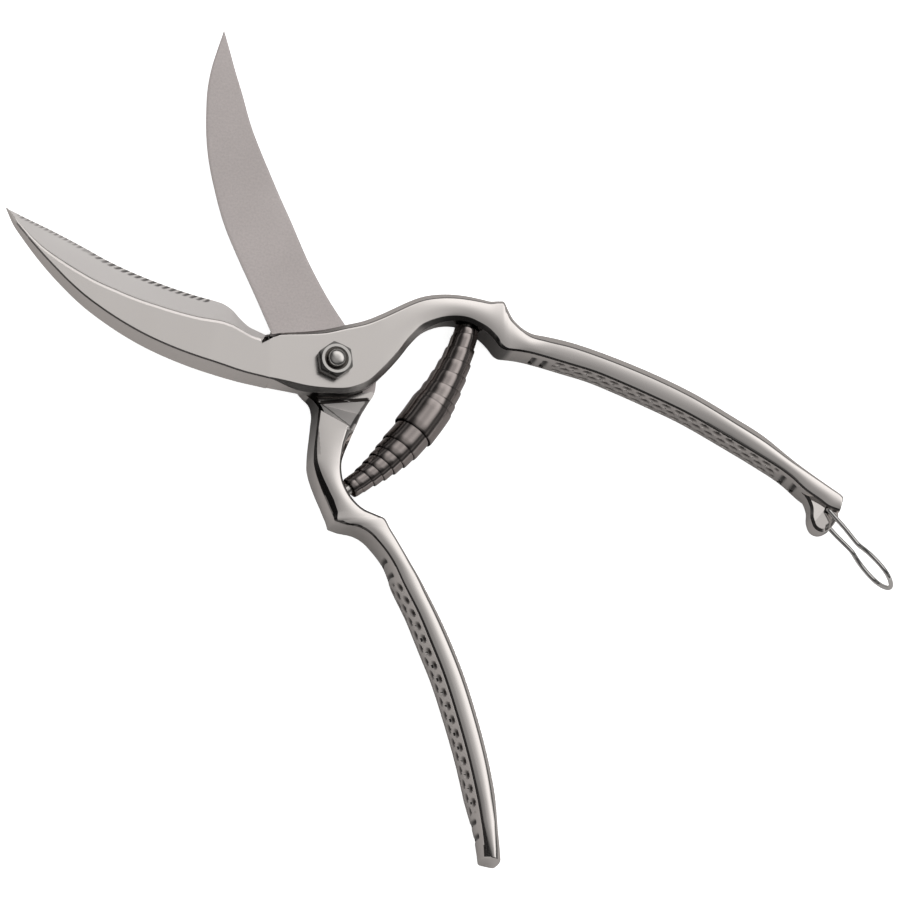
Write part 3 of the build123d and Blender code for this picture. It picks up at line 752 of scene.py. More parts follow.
def rear_blade():
    """Lies with its sliding face up and its grind underneath."""
    share, edge, spine, _ = blade_stations(REAR_EDGE, REAR_SPINE, step=0.5)
    section = Section(edge, spine)
    add, width, zero = section.add, section.width, section.zero
    thick = interp(BLADE_THICKNESS, share * 0.98) * 0.98
    ridge = width * (1 - interp(GRIND, share))
    crest = width * (1 - interp(CREST, share))
    edge_h = np.minimum(EDGE_H, thick * 0.5)
    round_width, round_drop = 0.35, 0.22         # rounding of the spine
    for t in steps(WALL):
        add(zero, REAR_TOP - edge_h * (1 - t))
    for t in steps(BEVEL + BAND + FACE):
        add((width - round_width) * t, REAR_TOP - 0.05 * np.clip(1 - width * t / 0.5, 0, 1))
    for t in steps(SPINE_BEVEL):
        add(width - round_width * (1 - t), REAR_TOP - round_drop * t * t)
    for t in steps(WALL):
        add(width - (width - crest) * t ** 1.1,
            REAR_TOP - round_drop - (thick - round_drop) * t)
    for t in steps(CORNER):
        add(crest - 0.1 * t, REAR_TOP - thick)
    add(crest - 0.12, REAR_TOP - thick)
    for t in steps(UNDERSIDE + CORNER)[1:]:
        across = ridge * (1 - t)
        at = np.clip(across / ridge, 0, 1)
        add(across, REAR_TOP - ground_height(at, edge_h, thick, width))
    return section.rings()


# ------------------------------------------------------------------ rear plate, neck and handle
# Plan point on the -x side (x, y), on the +x side (x, y), bevel width on the -x side and on
# the +x side, trim taken off top and underside, bulge of the -x wall, crown of the face
REAR_BAR = np.array([
    [-16.4, 9.4, 5.8, 11.2, 0.5, 0.5, 0.0, 0.0, 0.0],
    [-13.2, 1.7, 10.2, 6.2, 0.5, 0.5, 0.0, 0.0, 0.0],
    [-10.0, -4.3, 12.7, 0.6, 0.5, 0.5, 0.0, 0.0, 0.0],
    [-7.2, -8.0, 13.2, -4.3, 0.5, 0.5, 0.0, 0.0, 0.0],
    [-5.3, -10.0, 12.5, -7.6, 0.5, 0.6, 0.0, 0.0, 0.0],
    [-4.6, -12.6, 10.6, -10.6, 0.6, 1.0, 0.0, 0.0, 0.0],
    [-4.9, -16.0, 8.0, -14.8, 0.6, 1.6, 0.0, 0.0, 0.05],
    [-5.4, -19.6, 5.7, -19.2, 0.5, 2.3, 0.0, 0.0, 0.1],
    [-5.9, -23.1, 3.9, -23.2, 0.6, 1.8, 0.0, 0.0, 0.15],
    [-6.2, -26.0, 2.6, -26.0, 0.75, 1.1, 0.0, 0.0, 0.2],
    [-6.3, -29.0, 1.6, -29.0, 1.0, 0.6, 0.0, 0.0, 0.2],
    [-5.9, -32.3, 1.6, -32.3, 1.55, 0.6, 0.0, 0.3, 0.25],
    [-4.8, -36.4, 2.5, -35.8, 2.1, 0.6, 0.0, 0.6, 0.25],
    [-3.6, -40.0, 4.9, -39.8, 2.55, 0.6, 0.0, 0.9, 0.25],
    [-2.2, -43.6, 8.3, -42.6, 2.25, 0.6, 0.0, 0.9, 0.25],
    [-1.65, -44.9, 10.0, -43.3, 1.6, 0.6, 0.0, 0.7, 0.25],
    [-1.2, -45.9, 11.5, -43.9, 1.15, 0.6, 0.0, 0.5, 0.25],
    [0.2, -46.35, 12.5, -44.3, 0.85, 0.6, 0.0, 0.3, 0.25],
    [1.8, -46.8, 13.4, -44.7, 0.6, 0.6, 0.0, 0.1, 0.25],
    [5.6, -47.5, 15.0, -47.5, 0.6, 0.5, 0.0, 0.2, 0.25],
    [8.8, -49.2, 17.3, -51.2, 0.8, 0.6, 0.0, 0.4, 0.25],
    [11.0, -51.6, 19.1, -54.3, 1.0, 0.6, 0.0, 0.6, 0.25],
    [13.0, -54.4, 20.9, -57.6, 1.3, 0.6, 0.0, 0.9, 0.25],
    [14.7, -57.4, 22.7, -60.9, 1.5, 0.6, 0.0, 1.1, 0.25],
    [17.1, -63.2, 25.0, -65.8, 1.5, 0.6, 0.0, 1.2, 0.25],
    [20.8, -71.4, 28.2, -72.5, 1.6, 0.6, 0.0, 1.3, 0.25],
    [24.4, -80.9, 31.2, -79.5, 1.6, 0.6, 0.0, 1.3, 0.25],
    [27.5, -89.1, 34.5, -88.3, 1.6, 0.6, 0.0, 1.3, 0.25],
    [31.0, -100.9, 38.1, -100.5, 1.6, 0.6, 0.0, 1.3, 0.25],
    [34.2, -113.5, 41.2, -113.8, 1.6, 0.6, 0.0, 1.3, 0.25],
    [36.6, -125.4, 43.0, -125.0, 1.5, 0.6, 0.0, 1.2, 0.3],
    [38.0, -133.9, 43.9, -133.6, 1.8, 1.2, 0.1, 1.0, 0.25],
    [38.8, -139.0, 44.4, -139.2, 2.0, 1.4, 0.25, 0.7, 0.25],
    [39.15, -141.2, 44.6, -142.3, 2.1, 1.6, 0.4, 0.5, 0.25],
])
REAR_GROOVES_LEFT = ((13.9, -55.9), (15.8, -59.9), (37.5, -131.0), (38.15, -135.0))    # -x side
REAR_GROOVES_RIGHT = ((21.6, -59.0), (23.3, -62.2), (43.4, -130.4), (43.9, -134.2))    # +x side


def rear_bar():
    run, first, second, numbers = bar_stations(REAR_BAR, ((0.0, 0.4), (62.0, 0.28)))
    first_along, second_along = chord(first), chord(second)
    edge_bevel, spine_bevel, trim, edge_bulge, crown = numbers
    spine_bulge = 0.35 * rise(run, 62, 12)
    edge_least = np.interp(run, [60, 75, 100, 150], [0.38, 0.42, 0.62, 0.66])
    spine_least = np.interp(run, [45, 75, 100], [0.35, 0.5, 0.7])
    edge_bevel = np.maximum(edge_bevel, edge_bulge + edge_least)
    spine_bevel = np.maximum(spine_bevel, spine_bulge + spine_least)
    edge_drop = np.minimum(edge_bevel - edge_bulge, 2.4)
    spine_drop = np.minimum(spine_bevel - spine_bulge, 1.7)
    edge_bevel = edge_bulge + (edge_bevel - edge_bulge) / squareness(first, second)
    spine_bevel = spine_bulge + (spine_bevel - spine_bulge) / squareness(second, first)
    # the -x wall spreads outwards at its foot; the +x side has a broad rim
    on_handle = rise(-first[:, 1], 54, 10) * fall(-first[:, 1], 122, 14)
    lean, rim = 1.15 * on_handle, 0.6 * on_handle
    outward = unit(first - second)
    first, second = first + outward * lean[:, None], second - outward * rim[:, None]
    edge_grip = grip(first, first_along, REAR_GROOVES_LEFT)
    spine_grip = grip(second, second_along, REAR_GROOVES_RIGHT)
    rings, shade_amounts = bar_rings(
        first, second, trim, HANDLE_T - trim,
        edge=Side(edge_bevel + lean, edge_drop, edge_bulge, lean, edge_grip, CRISP),
        spine=Side(spine_bevel + rim, spine_drop + 0.75 * rim, spine_bulge, 0.0, spine_grip, SOFT),
        under=0.5, crown=crown, ridge=0.5)
    # shadow on the -x bevel between neck and handle
    shadow = 0.4 * (rise(-first[:, 1], 27, 6) * fall(-first[:, 1], 48, 8))
    bevel = slice(WALL, WALL + BEVEL)
    shade_amounts[:, bevel] = np.maximum(shade_amounts[:, bevel], shadow[:, None])
    rings, shade_amounts = end_rings(rings, shade_amounts, out=0.14, direction=(0.16, -1.0))
    satin = np.zeros(shade_amounts.shape)
    satin[:len(run)] = (0.35 - 0.35 * rise(run, 18, 14))[:, None]
    return rings, shade_amounts, satin


# ------------------------------------------------------------------ facets of the rear neck
# The neck is cut back to two sloping facets that clear the front lever. Plan corners (x, y)
NECK_A, NECK_B, NECK_C, NECK_D = (-2.9, -10.7), (10.8, -9.4), (4.5, -18.9), (-3.6, -14.5)
SWEPT = ((-2.25, -11.05), (9.3, -13.75))   # limit of the flat swept by the closing front lever
NECK_BANDS = [tuple((x, y + shift) for x, y in (NECK_A, NECK_B))
              for shift in (-0.25, 0.35, 0.7, 0.95)]
NECK_CUTS = [
    (NECK_A, NECK_B), SWEPT, (SWEPT[0], NECK_C),
    (NECK_C, (NECK_C[0] + 1.3, NECK_C[1] + 0.12)), (NECK_C, NECK_D),
    (NECK_A, (NECK_A[0] - 1.4353, NECK_A[1] + 0.7797)),
    (NECK_C, (NECK_C[0] + 13.7, NECK_C[1] + 1.3)), *NECK_BANDS,
    ((NECK_B[0] - 0.75, NECK_B[1] + 0.5), (NECK_C[0] - 0.75, NECK_C[1] + 0.5)),
    [(x, y + 0.12) for x, y in SWEPT]]
# -y side of the front plate, along which the rear plate is in shadow
FRONT_PLATE_SIDE = [(-18.5, -6.8)] + FRONT_BAR[3:9, 2:4].tolist()


def neck_top(x, y):
    first = SLIDE - 0.2234 * (x + 2.9) - 0.9563 * (y + 10.9)
    second = SLIDE - 0.7797 * (x - NECK_A[0]) - 1.4353 * (y - NECK_A[1])
    return min(HANDLE_T + 1, max(first, second, REAR_TOP))


def cut_neck(bm):
    def nearby(face):
        x, y, _ = in_mm(face.calc_center_median())
        return -10 < x < 16 and -24 < y < -4

    for (ax, ay), (bx, by) in NECK_CUTS:
        split(bm, parts_of(f for f in bm.faces if nearby(f)), (ax, ay), (by - ay, ax - bx))
    for vert in bm.verts:
        x, y, z = in_mm(vert.co)
        if y > -20.5 and z > REAR_TOP:
            vert.co.z = min(vert.co.z, neck_top(x, y) * MM)


def neck_satin_and_shade(bm):
    """Satin on the facets, and shadows along their borders and beside the front plate."""
    painted_shade, satin = (bm.verts.layers.float[name] for name in ("painted_shade", "satin"))
    plate_side = list(zip(FRONT_PLATE_SIDE, FRONT_PLATE_SIDE[1:]))
    corner_line = ((NECK_A[0] - 2.9, NECK_A[1] + 1.6), NECK_A)
    for vert in bm.verts:
        x, y, z = in_mm(vert.co)

        def near(reach, *lines):
            return min(line_distance(x, y, line) for line in lines) < reach

        # facets, up to a line close to A-B
        if -3.2 < x < 11 and -19.5 < y < -10.85 + 0.0949 * (x + 2.9) and 5.5 < z < 11.9:
            vert[satin] = 0.8
            # painted shade on the flat at slide height
            if z < 6.02 and line_distance(x, y, SWEPT) > 0.06:
                vert[painted_shade] = 0.26
        if x < -3.6 and -14 < y < -9.0 and -0.1 < z < 11.9:
            vert[painted_shade] = max(vert[painted_shade], 0.75)
        if x < -3.3 and -27 < y < -9.5 and -0.1 < z < 11.9:
            vert[painted_shade] = max(vert[painted_shade], 0.55 * float(fall(-y, 12, 20)))
        if 5.9 < z < 6.05 and -13 < y < 2:
            gap = min(line_distance(x, y, line) for line in plate_side)
            vert[painted_shade] = max(vert[painted_shade], 0.5 * float(fall(gap, 0.5, 0.7)))
        if z > 5.5 and -20.5 < y < -8:
            if near(0.16, (NECK_A, NECK_B), NECK_BANDS[1], NECK_BANDS[2]):
                vert[painted_shade] = 0.7
            if near(0.2, (SWEPT[0], NECK_C), corner_line) or near(0.45, (NECK_B, NECK_C)):
                vert[painted_shade] = max(vert[painted_shade], 0.5)


def build_rear_lever():
    blade, blade_shade = rear_blade()
    bar, bar_shade, bar_satin = rear_bar()
    # painted shade of blade and bar goes into the mesh as a point attribute
    rear = loft("rear_lever_forging", np.concatenate([blade, bar]), {
        "painted_shade": np.concatenate([blade_shade, bar_shade]),
        "satin": np.concatenate([np.ones(blade_shade.shape), bar_satin])})
    with editing(rear.data) as bm:
        cut_neck(bm)
        neck_satin_and_shade(bm)
        bmesh.ops.remove_doubles(bm, verts=bm.verts, dist=2e-6)
        bmesh.ops.recalc_face_normals(bm, faces=bm.faces)
    cut(rear, lathe("c", ((6.4, -1.0), (2.6, 2.2)), 64))           # countersink for the bolt
    shade(rear)
    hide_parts("rear_lever")
    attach(rear, "rear_body")
    return rear


# ------------------------------------------------------------------ pivot: bolt and nut
# Bolt profile (radius, z): countersunk head at the bottom, shank, domed end
BOLT = [
    (0.4, 0.04), (3.0, 0.04), (4.95, 0.04), (5.12, 0.10), (5.1, 0.2), (2.5, 2.25), (2.5, 14.0),
    (2.5, 16.0), (2.5, 16.7), (2.46, 16.95), (2.36, 17.15), (2.2, 17.3), (1.9, 17.44),
    (1.5, 17.55), (1.05, 17.64), (0.6, 17.69), (0.25, 17.7)]
NUT_ACROSS_FLATS = 9.0
NUT_BOTTOM, NUT_HEIGHT = HANDLE_T + 0.03, 4.0
NUT_TURN = 95.0        # degrees
NUT_HOLE = 2.52
NUT_POINTS = 96


def add_fastener(obj, replaced):
    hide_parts(replaced)
    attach(obj, "rear_body")


def build_bolt():
    bolt = lathe("pivot_bolt_turned", BOLT)
    shade(bolt, 40)
    add_fastener(bolt, "pivot_bolt")
    return bolt


def build_nut():
    """Hexagon with turned 30 degree chamfers and a countersunk hole."""
    angle = np.linspace(0, 2 * math.pi, NUT_POINTS + 1)[:-1]
    from_flat = ((angle - math.radians(NUT_TURN)) % (math.pi / 3)) - math.pi / 6
    outer = (NUT_ACROSS_FLATS / 2) / np.cos(from_flat)
    inner = NUT_ACROSS_FLATS / 2 * 0.93          # circle where the chamfers start
    slope = math.tan(math.radians(30))
    bottom, top, hole = NUT_BOTTOM, NUT_BOTTOM + NUT_HEIGHT, NUT_HOLE
    chamfer = [inner + (outer - 0.06 - inner) * t for t in (0.35, 0.7, 1.0)]
    drop = (outer - inner) * slope
    profile = [
        (hole, bottom + 0.3), (hole + 0.5, bottom), (inner, bottom),
        *((r, bottom + (r - inner) * slope) for r in chamfer),
        (outer, bottom + drop + 0.10), (outer, bottom + NUT_HEIGHT / 2), (outer, top - drop - 0.10),
        *((r, top - (r - inner) * slope) for r in chamfer[::-1]),
        (inner, top), (hole + 0.92, top), (hole + 0.84, top - 0.06), (hole + 0.05, top - 0.95),
        (hole, top - 1.3)]
    nut = closed_loft("pivot_nut_turned",
                      np.array([circle(r, z, NUT_POINTS) for r, z in profile]))
    shade(nut, 24)
    add_fastener(nut, "pivot_nut")
    return nut


# ------------------------------------------------------------------ volute springs
# Both strips share an axis bent along an arc between the handles, at mid-thickness
ARC_CENTRE, ARC_RADIUS = (-43.18, 37.19), 86.69
AXIS_LOW, AXIS_TOP = (4.57, -35.16), (39.73, 11.88)
ANGLE_LOW, ANGLE_TOP = (math.atan2(y - ARC_CENTRE[1], x - ARC_CENTRE[0])
                        for x, y in (AXIS_LOW, AXIS_TOP))
AXIS_LENGTH = ARC_RADIUS * (ANGLE_TOP - ANGLE_LOW)
# By turn: place of the strip's outer end along the axis, and radius
LOWER_TURNS = np.array([
    (0.3, 3.0), (0.3, 3.05), (2.0, 3.12), (5.8, 3.6), (8.9, 4.05), (12.2, 4.55), (15.2, 5.05),
    (19.3, 5.52), (21.0, 5.58)])
UPPER_TURNS = np.array([
    (0.2, 3.4), (0.1, 3.5), (-4.4, 3.9), (-8.6, 4.35), (-12.8, 4.8), (-17.0, 5.25),
    (-21.2, 5.7), (-24.6, 6.1), (-24.8, 6.3)])               # places from the top end
STRIP_T = 0.32
STRIP_EASE = 0.10      # rounding of its edges
# Strip section: share of the width, inset from the outer radius
STRIP_SECTION = (
    [(u, 0.0 if 0 < u < 1 else STRIP_EASE) for u in (0.0, 0.06, 0.25, 0.5, 0.75, 0.94, 1.0)]
    + [(u, STRIP_T if 0 < u < 1 else STRIP_T - STRIP_EASE) for u in (1.0, 0.94, 0.5, 0.06, 0.0)])


def on_spring(place, radius, turn):
    """Point at a distance along the axis and at a radius and angle round it."""
    angle = ANGLE_LOW + place / ARC_RADIUS
    reach = ARC_RADIUS + radius * np.cos(turn)
    return np.stack([ARC_CENTRE[0] + reach * np.cos(angle),
                     ARC_CENTRE[1] + reach * np.sin(angle),
                     MID_Z + radius * np.sin(turn)], -1)


def volute(name, places, radii, turns, widths, phase, sign):
    """Flat strip rolled into a cone. widths: first and last; sign: direction of the axis."""
    turn = np.linspace(0, turns, int(turns * 56) + 1)
    place = np.interp(turn, np.arange(len(places)), places)
    radius = np.interp(turn, np.arange(len(radii)), radii)
    width = widths[0] + (widths[1] - widths[0]) * turn / turns
    angle = phase - 2 * math.pi * turn * sign
    rings = np.stack([on_spring(place + sign * width * u, radius - drop, angle)
                      for u, drop in STRIP_SECTION], 1)
    # painted shade along both edges of the strip
    edge_dark = np.array([0.30 if u in (0.0, 1.0) else 0.0 for u, _ in STRIP_SECTION])
    strip = loft(name, rings, {"painted_shade": np.repeat(edge_dark[None], len(rings), 0)})
    shade(strip, 40)
    return strip


def build_springs():
    lower = volute("spring_strip_lower", *LOWER_TURNS.T, turns=7.5, widths=(4.4, 8.0),
                   phase=math.pi / 2, sign=1.0)
    upper = volute("spring_strip_upper", AXIS_LENGTH + UPPER_TURNS[:, 0], UPPER_TURNS[:, 1],
                   turns=8, widths=(6.0, 10.2), phase=-1.05, sign=-1.0)
    start, end = (tuple(on_spring(place, 0, 0) * MM) for place in (AXIS_LENGTH, 0.0))
    for strip, replaced in ((lower, "spring_volute_lower"), (upper, "spring_volute_upper")):
        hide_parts(replaced)
        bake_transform(strip, "front_body", "rear_body", start=start, end=end)
    return lower, upper


# ------------------------------------------------------------------ latch loop
LOOP_BEARING = math.radians(-48.5)         # plan direction from the hole to the far end
WIRE_RADIUS = 0.68
# Upper half of the upright wire loop: distance from the hole, height above mid-thickness
LOOP_HALF = [
    (0.0, 0.0), (0.0, 3.4), (0.05, 4.5), (0.5, 4.93), (1.4, 4.97), (4.0, 4.93), (6.8, 4.84),
    (9.2, 4.45), (11.6, 4.05), (12.7, 4.0), (13.6, 4.25), (14.8, 4.95), (16.6, 5.75),
    (19.0, 6.32), (21.3, 6.42), (23.4, 6.05), (25.2, 5.05), (26.6, 3.5), (27.5, 1.7),
    (27.75, 0.0)]


def build_latch_loop():
    path = spline_closed(LOOP_HALF + [(s, -z) for s, z in LOOP_HALF[-2:0:-1]], 360)
    ahead = np.array([math.cos(LOOP_BEARING), math.sin(LOOP_BEARING)])
    level = np.array([-ahead[1], ahead[0], 0.0])
    angle = np.linspace(0, 2 * math.pi, 21)[:-1, None]
    rings = []
    for (s, z), (tangent_s, tangent_z) in zip(path, loop_tangents(path)):
        centre = np.array([*(LOOP_HOLE + ahead * s), MID_Z + z])
        normal = np.array([-tangent_z * ahead[0], -tangent_z * ahead[1], tangent_s])
        rings.append(centre + WIRE_RADIUS * (np.cos(angle) * normal + np.sin(angle) * level))
    loop = closed_loft("latch_loop_wire", np.array(rings))
    shade(loop, 60)
    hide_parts("latch_loop")
    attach(loop, "loop_body")
    return loop


front = build_front_lever()
rear = build_rear_lever()
bolt = build_bolt()
nut = build_nut()
lower_spring, upper_spring = build_springs()
latch_loop = build_latch_loop()


# ------------------------------------------------------------------ materials
class Nodes:
    """Short calls for building an emptied node tree."""

    def __init__(self, owner):
        owner.use_nodes = True
        self.tree = owner.node_tree
        self.tree.nodes.clear()

    def add(self, kind):
        return self.tree.nodes.new("ShaderNode" + kind)

    def feed(self, socket, value):
        """Links a socket, or sets a number or colour."""
        if hasattr(value, "links"):
            self.tree.links.new(value, socket)
        elif isinstance(value, tuple):
            socket.default_value = (*value, 1)
        else:
            socket.default_value = value

    def math(self, operation, *values, clamp=False):
        node = self.add("Math")
        node.operation = operation
        node.use_clamp = clamp
        for socket, value in zip(node.inputs, values):
            self.feed(socket, value)
        return node.outputs[0]

    def mix(self, factor, a, b):
        node = self.add("Mix")
        node.data_type = "RGBA"
        for i, value in ((0, factor), (6, a), (7, b)):     # 6 and 7 are the colour sockets
            self.feed(node.inputs[i], value)
        return node.outputs[2]

    def map_range(self, value, limits, interpolation="LINEAR"):
        """limits: lower and upper input, then optionally lower and upper output."""
        node = self.add("MapRange")
        node.interpolation_type = interpolation
        self.feed(node.inputs[0], value)
        for i, limit in enumerate(limits, 1):
            node.inputs[i].default_value = limit
        return node.outputs[0]

    def noise(self, scale, detail, rough=0.55):
        mapping = self.add("Mapping")
        self.feed(mapping.inputs["Vector"], self.add("TexCoord").outputs["Object"])
        node = self.add("TexNoise")
        for key, value in (("Scale", scale), ("Detail", detail), ("Roughness", rough),
                           ("Vector", mapping.outputs[0])):
            self.feed(node.inputs[key], value)
        return node.outputs["Fac"]

    def attribute(self, name):
        node = self.add("Attribute")
        node.attribute_name = name
        return node.outputs["Fac"]

    def brightness(self, colour, factor):
        node = self.add("HueSaturation")
        self.feed(node.inputs["Value"], factor)
        self.feed(node.inputs["Color"], colour)
        return node.outputs[0]

    def separate(self, vector):
        node = self.add("SeparateXYZ")
        self.feed(node.inputs[0], vector)
        return node.outputs


def principled(name):
    material = bpy.data.materials.new(name)
    nodes = Nodes(material)
    output, shader = nodes.add("OutputMaterial"), nodes.add("BsdfPrincipled")
    nodes.feed(output.inputs[0], shader.outputs[0])
    return material, nodes, shader.inputs


def metal(name, light, dark, rough, rough_var=0.08, grain=0.02, painted_shade=False, speckle=0.0,
          satin_to=None, shade_flanks=False):
    """Cloudy metal. Its shade flag paints shade: colour blackened by the per-point painted shade attribute.
    satin_to: roughness where the
    "satin" attribute is 1. Its flank flag paints shade too: darker where the surface is steep."""
    material, nodes, inputs = principled(name)
    inputs["Metallic"].default_value = 1.0
    clouds = nodes.noise(scale=45, detail=4.0)
    colour = nodes.mix(clouds, light, dark)
    if speckle:
        dots = nodes.noise(scale=1500, detail=3.0, rough=0.7)
        change = nodes.math("MULTIPLY", nodes.math("SUBTRACT", dots, 0.5), speckle)
        colour = nodes.brightness(colour, nodes.math("ADD", change, 1.0))
    # painted shade: the colour goes to near black where the shade attribute is high
    if painted_shade:
        share = nodes.math("MULTIPLY", nodes.attribute("painted_shade"), 1.75, clamp=True)
        colour = nodes.mix(share, colour, (0.035, 0.031, 0.029))
    if shade_flanks:
        # painted shade: steep faces are darkened by their tilt
        up = nodes.separate(nodes.add("NewGeometry").outputs["Normal"])[2]
        steepness = nodes.map_range(nodes.math("ABSOLUTE", up), (0.6, 0.82, 0.16, 1.0))
        colour = nodes.brightness(colour, steepness)
    nodes.feed(inputs["Base Color"], colour)
    change = nodes.math("MULTIPLY", nodes.math("SUBTRACT", clouds, 0.5), rough_var)
    roughness = nodes.math("ADD", change, rough)
    if satin_to:
        satin = nodes.attribute("satin")
        roughness = nodes.math("ADD", roughness, nodes.math("MULTIPLY", satin, satin_to - rough))
        # the most satin parts scatter light and are less metallic
        scatter = nodes.math("MULTIPLY", nodes.math("SUBTRACT", satin, 0.35, clamp=True), 0.9)
        nodes.feed(inputs["Metallic"], nodes.math("SUBTRACT", 1.0, scatter))
    nodes.feed(inputs["Roughness"], roughness)
    bump = nodes.add("Bump")
    bump.inputs["Strength"].default_value = grain
    bump.inputs["Distance"].default_value = 0.00004
    nodes.feed(bump.inputs["Height"], nodes.noise(scale=2600, detail=2.0))
    nodes.feed(inputs["Normal"], bump.outputs[0])
    return material


def dress(objs, *materials):
    for obj in objs:
        obj.data.materials.clear()
        for material in materials:
            obj.data.materials.append(material)


forged = dict(light=(0.80, 0.765, 0.745), dark=(0.74, 0.705, 0.685), rough=0.11, painted_shade=True)
steel_front = metal("polished_forged_steel", **forged, satin_to=0.42)
steel_rear = metal("polished_forged_steel_rear", **forged, satin_to=0.40)
satin_steel = metal("satin_ground_steel", light=(0.81, 0.75, 0.74), dark=(0.75, 0.695, 0.685),
                    rough=0.46, rough_var=0.10, grain=0.25, speckle=0.35)
turned = metal("turned_steel", light=(0.74, 0.72, 0.70), dark=(0.64, 0.62, 0.60), rough=0.18)
strip_steel = metal("tempered_spring_strip", light=(0.46, 0.415, 0.40),
                    dark=(0.34, 0.305, 0.295), rough=0.15, rough_var=0.16, grain=0.05, painted_shade=True)
nut_steel = metal("nut_steel", light=(0.78, 0.76, 0.74), dark=(0.68, 0.66, 0.64), rough=0.16,
                  shade_flanks=True)
wire = metal("bright_wire", light=(0.80, 0.79, 0.78), dark=(0.72, 0.71, 0.70), rough=0.12)

dress([front], steel_front)
dress([rear], steel_rear, satin_steel)
for face in rear.data.polygons:
    # the rear lever's sliding face is satin
    _, y, z = in_mm(face.center)
    sliding = face.normal.z > 0.9 and abs(z - REAR_TOP) < 0.3 and y > -7
    face.material_index = 1 if sliding else 0
dress([bolt], turned)
dress([nut], nut_steel)
dress([lower_spring, upper_spring], strip_steel)
dress([latch_loop], wire)
dress([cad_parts[name] for name in ("spring_peg_front", "spring_peg_rear")], turned)


# ------------------------------------------------------------------ floor
FLOOR_HALF, FLOOR_Z = 8.0, -0.00112        # metres


def build_floor():
    """Pale to the camera, and darker in reflections."""
    mesh = bpy.data.meshes.new("floor")
    corners = ((-1, -1), (1, -1), (1, 1), (-1, 1))
    mesh.from_pydata([(x * FLOOR_HALF, y * FLOOR_HALF, FLOOR_Z) for x, y in corners],
                     [], [(0, 1, 2, 3)])
    floor = bpy.data.objects.new("floor", mesh)
    bpy.context.scene.collection.objects.link(floor)
    material, nodes, inputs = principled("pale_floor")
    inputs["Roughness"].default_value = 0.9
    inputs["Specular IOR Level"].default_value = 0.1
    rays = nodes.add("LightPath").outputs
    nodes.feed(inputs["Base Color"],
               nodes.mix(rays["Is Glossy Ray"], (0.80, 0.80, 0.80), (0.40, 0.385, 0.375)))
    nodes.feed(inputs["Emission Color"], (1, 1, 1))
    nodes.feed(inputs["Emission Strength"], nodes.math("MULTIPLY", rays["Is Camera Ray"], 0.75))
    mesh.materials.append(material)


# ------------------------------------------------------------------ world
# Studio as the polished faces see it: brightness by height of the direction (0 level, 1 straight
# up), on the side of the light (+x +y) and on the dark side
LIGHT_SIDE = [
    (0.0, 0.30), (0.03, 0.16), (0.10, 0.12), (0.20, 0.20), (0.34, 0.20), (0.46, 0.07),
    (0.62, 0.10), (0.70, 0.9), (0.76, 1.3), (0.86, 1.15), (0.91, 0.88), (0.9455, 0.64),
    (0.985, 0.42), (1.0, 0.34)]
DARK_SIDE = [
    (0.0, 0.5), (0.03, 0.85), (0.10, 0.55), (0.16, 0.02), (0.35, 0.02), (0.405, 0.22),
    (0.50, 0.22), (0.58, 0.04), (0.78, 0.04), (0.90, 0.14), (0.97, 0.27), (1.0, 0.34)]


def sky_ramp(nodes, height, stops):
    node = nodes.add("ValToRGB")
    node.color_ramp.interpolation = "LINEAR"
    nodes.feed(node.inputs[0], height)
    elements = node.color_ramp.elements        # starts with stops at 0 and 1
    for place, value in stops:
        if place == 0.0:
            element = elements[0]
        elif place == 1.0:
            element = elements[len(elements) - 1]
        else:
            element = elements.new(place)
        element.color = (value, value * 0.985, value * 0.97, 1)
    return node.outputs[0]


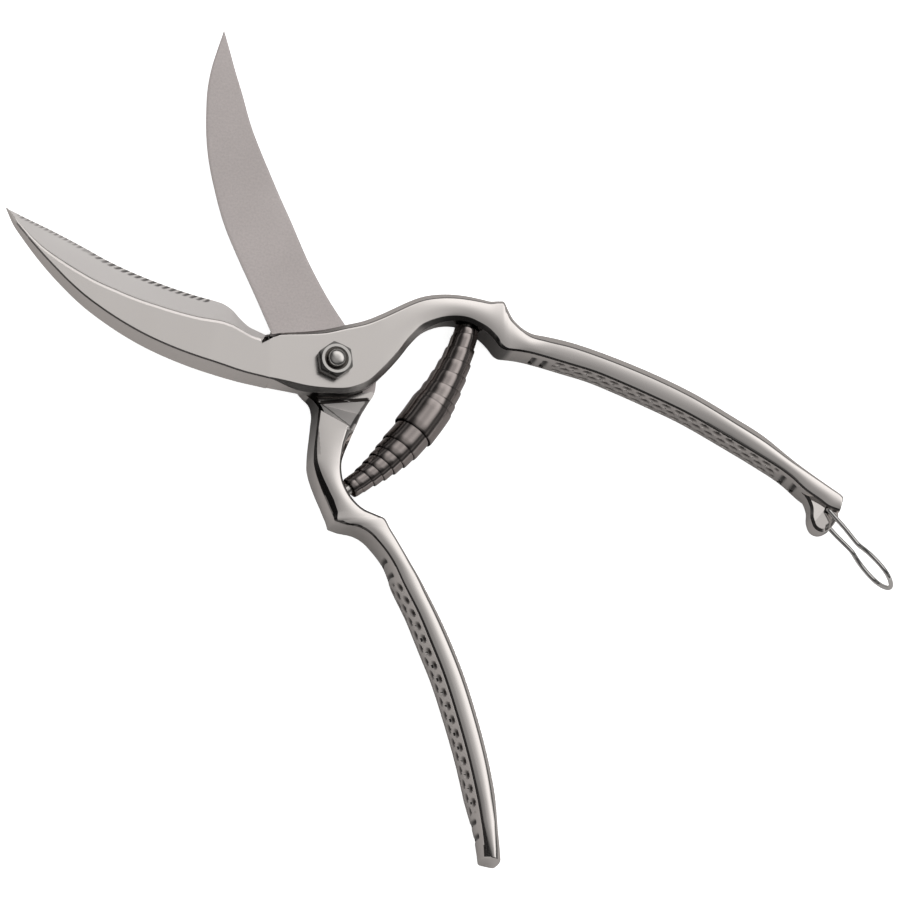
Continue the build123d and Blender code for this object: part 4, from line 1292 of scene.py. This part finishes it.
def build_world():
    world = bpy.data.worlds.new("studio")
    bpy.context.scene.world = world
    nodes = Nodes(world)
    output, background = nodes.add("OutputWorld"), nodes.add("Background")
    x, y, z = nodes.separate(nodes.add("TexCoord").outputs["Generated"])
    # share of the way round from the dark side to the light side
    across = nodes.math("ADD", nodes.math("MULTIPLY", x, 0.70), nodes.math("MULTIPLY", y, 0.714))
    level_squared = nodes.math("SUBTRACT", 1.0004, nodes.math("MULTIPLY", z, z))
    bearing = nodes.math("DIVIDE", across, nodes.math("SQRT", level_squared))
    toward = nodes.math("MULTIPLY_ADD", bearing, 0.5, 0.5)
    studio = nodes.mix(nodes.map_range(toward, (0.62, 0.93), "SMOOTHSTEP"),
                       sky_ramp(nodes, z, DARK_SIDE), sky_ramp(nodes, z, LIGHT_SIDE))
    # the camera and diffuse light see plain white
    rays = nodes.add("LightPath").outputs
    plain = nodes.math("MAXIMUM", rays["Is Camera Ray"], rays["Is Diffuse Ray"])
    nodes.feed(background.inputs[0], nodes.mix(plain, studio, (0.92, 0.92, 0.92)))
    nodes.feed(output.inputs[0], background.outputs[0])


# ------------------------------------------------------------------ light and camera
VIEW_TILT = math.radians(19.0)             # from straight down
VIEW_BEARING = math.radians(50.5)          # plan direction in which the camera looks
VIEW_TARGET = Vector((35.2554, -21.5098, 0)) * MM
VIEW_DISTANCE = 6.0                        # metres
LENS, SENSOR = 853.44, 36.0


def build_light():
    light = bpy.data.lights.new("softbox", "AREA")
    light.shape = "DISK"
    light.size = 1.2
    light.energy = 5.0
    softbox = bpy.data.objects.new("softbox", light)
    bpy.context.scene.collection.objects.link(softbox)
    softbox.location = (0.5, 0.6, 1.5)
    softbox.rotation_mode = "QUATERNION"
    aim = Vector((0.02, 0.0, 0)) - softbox.location
    softbox.rotation_quaternion = aim.to_track_quat("-Z", "Y")
    softbox.visible_glossy = False


def build_camera():
    ahead = Vector((math.cos(VIEW_BEARING), math.sin(VIEW_BEARING), 0))
    aside = Vector((math.sin(VIEW_BEARING), -math.cos(VIEW_BEARING), 0))
    # the view is tilted about aside, with x still mostly rightwards and y mostly upwards
    tilted = ahead * math.cos(VIEW_TILT) + Vector((0, 0, math.sin(VIEW_TILT)))
    backward = ahead * -math.sin(VIEW_TILT) + Vector((0, 0, math.cos(VIEW_TILT)))
    right = aside * aside.x + tilted * ahead.x
    up = aside * aside.y + tilted * ahead.y
    data = bpy.data.cameras.new("camera")
    data.sensor_width = SENSOR
    data.lens = LENS
    data.clip_start, data.clip_end = 0.5, 40
    camera = bpy.data.objects.new("camera", data)
    bpy.context.scene.collection.objects.link(camera)
    matrix = Matrix((right, up, backward)).transposed().to_4x4()
    matrix.translation = VIEW_TARGET + backward * VIEW_DISTANCE
    camera.matrix_world = matrix
    bpy.context.scene.camera = camera


build_floor()
build_world()
build_light()
build_camera()
bpy.context.scene.view_settings.view_transform = "Standard"
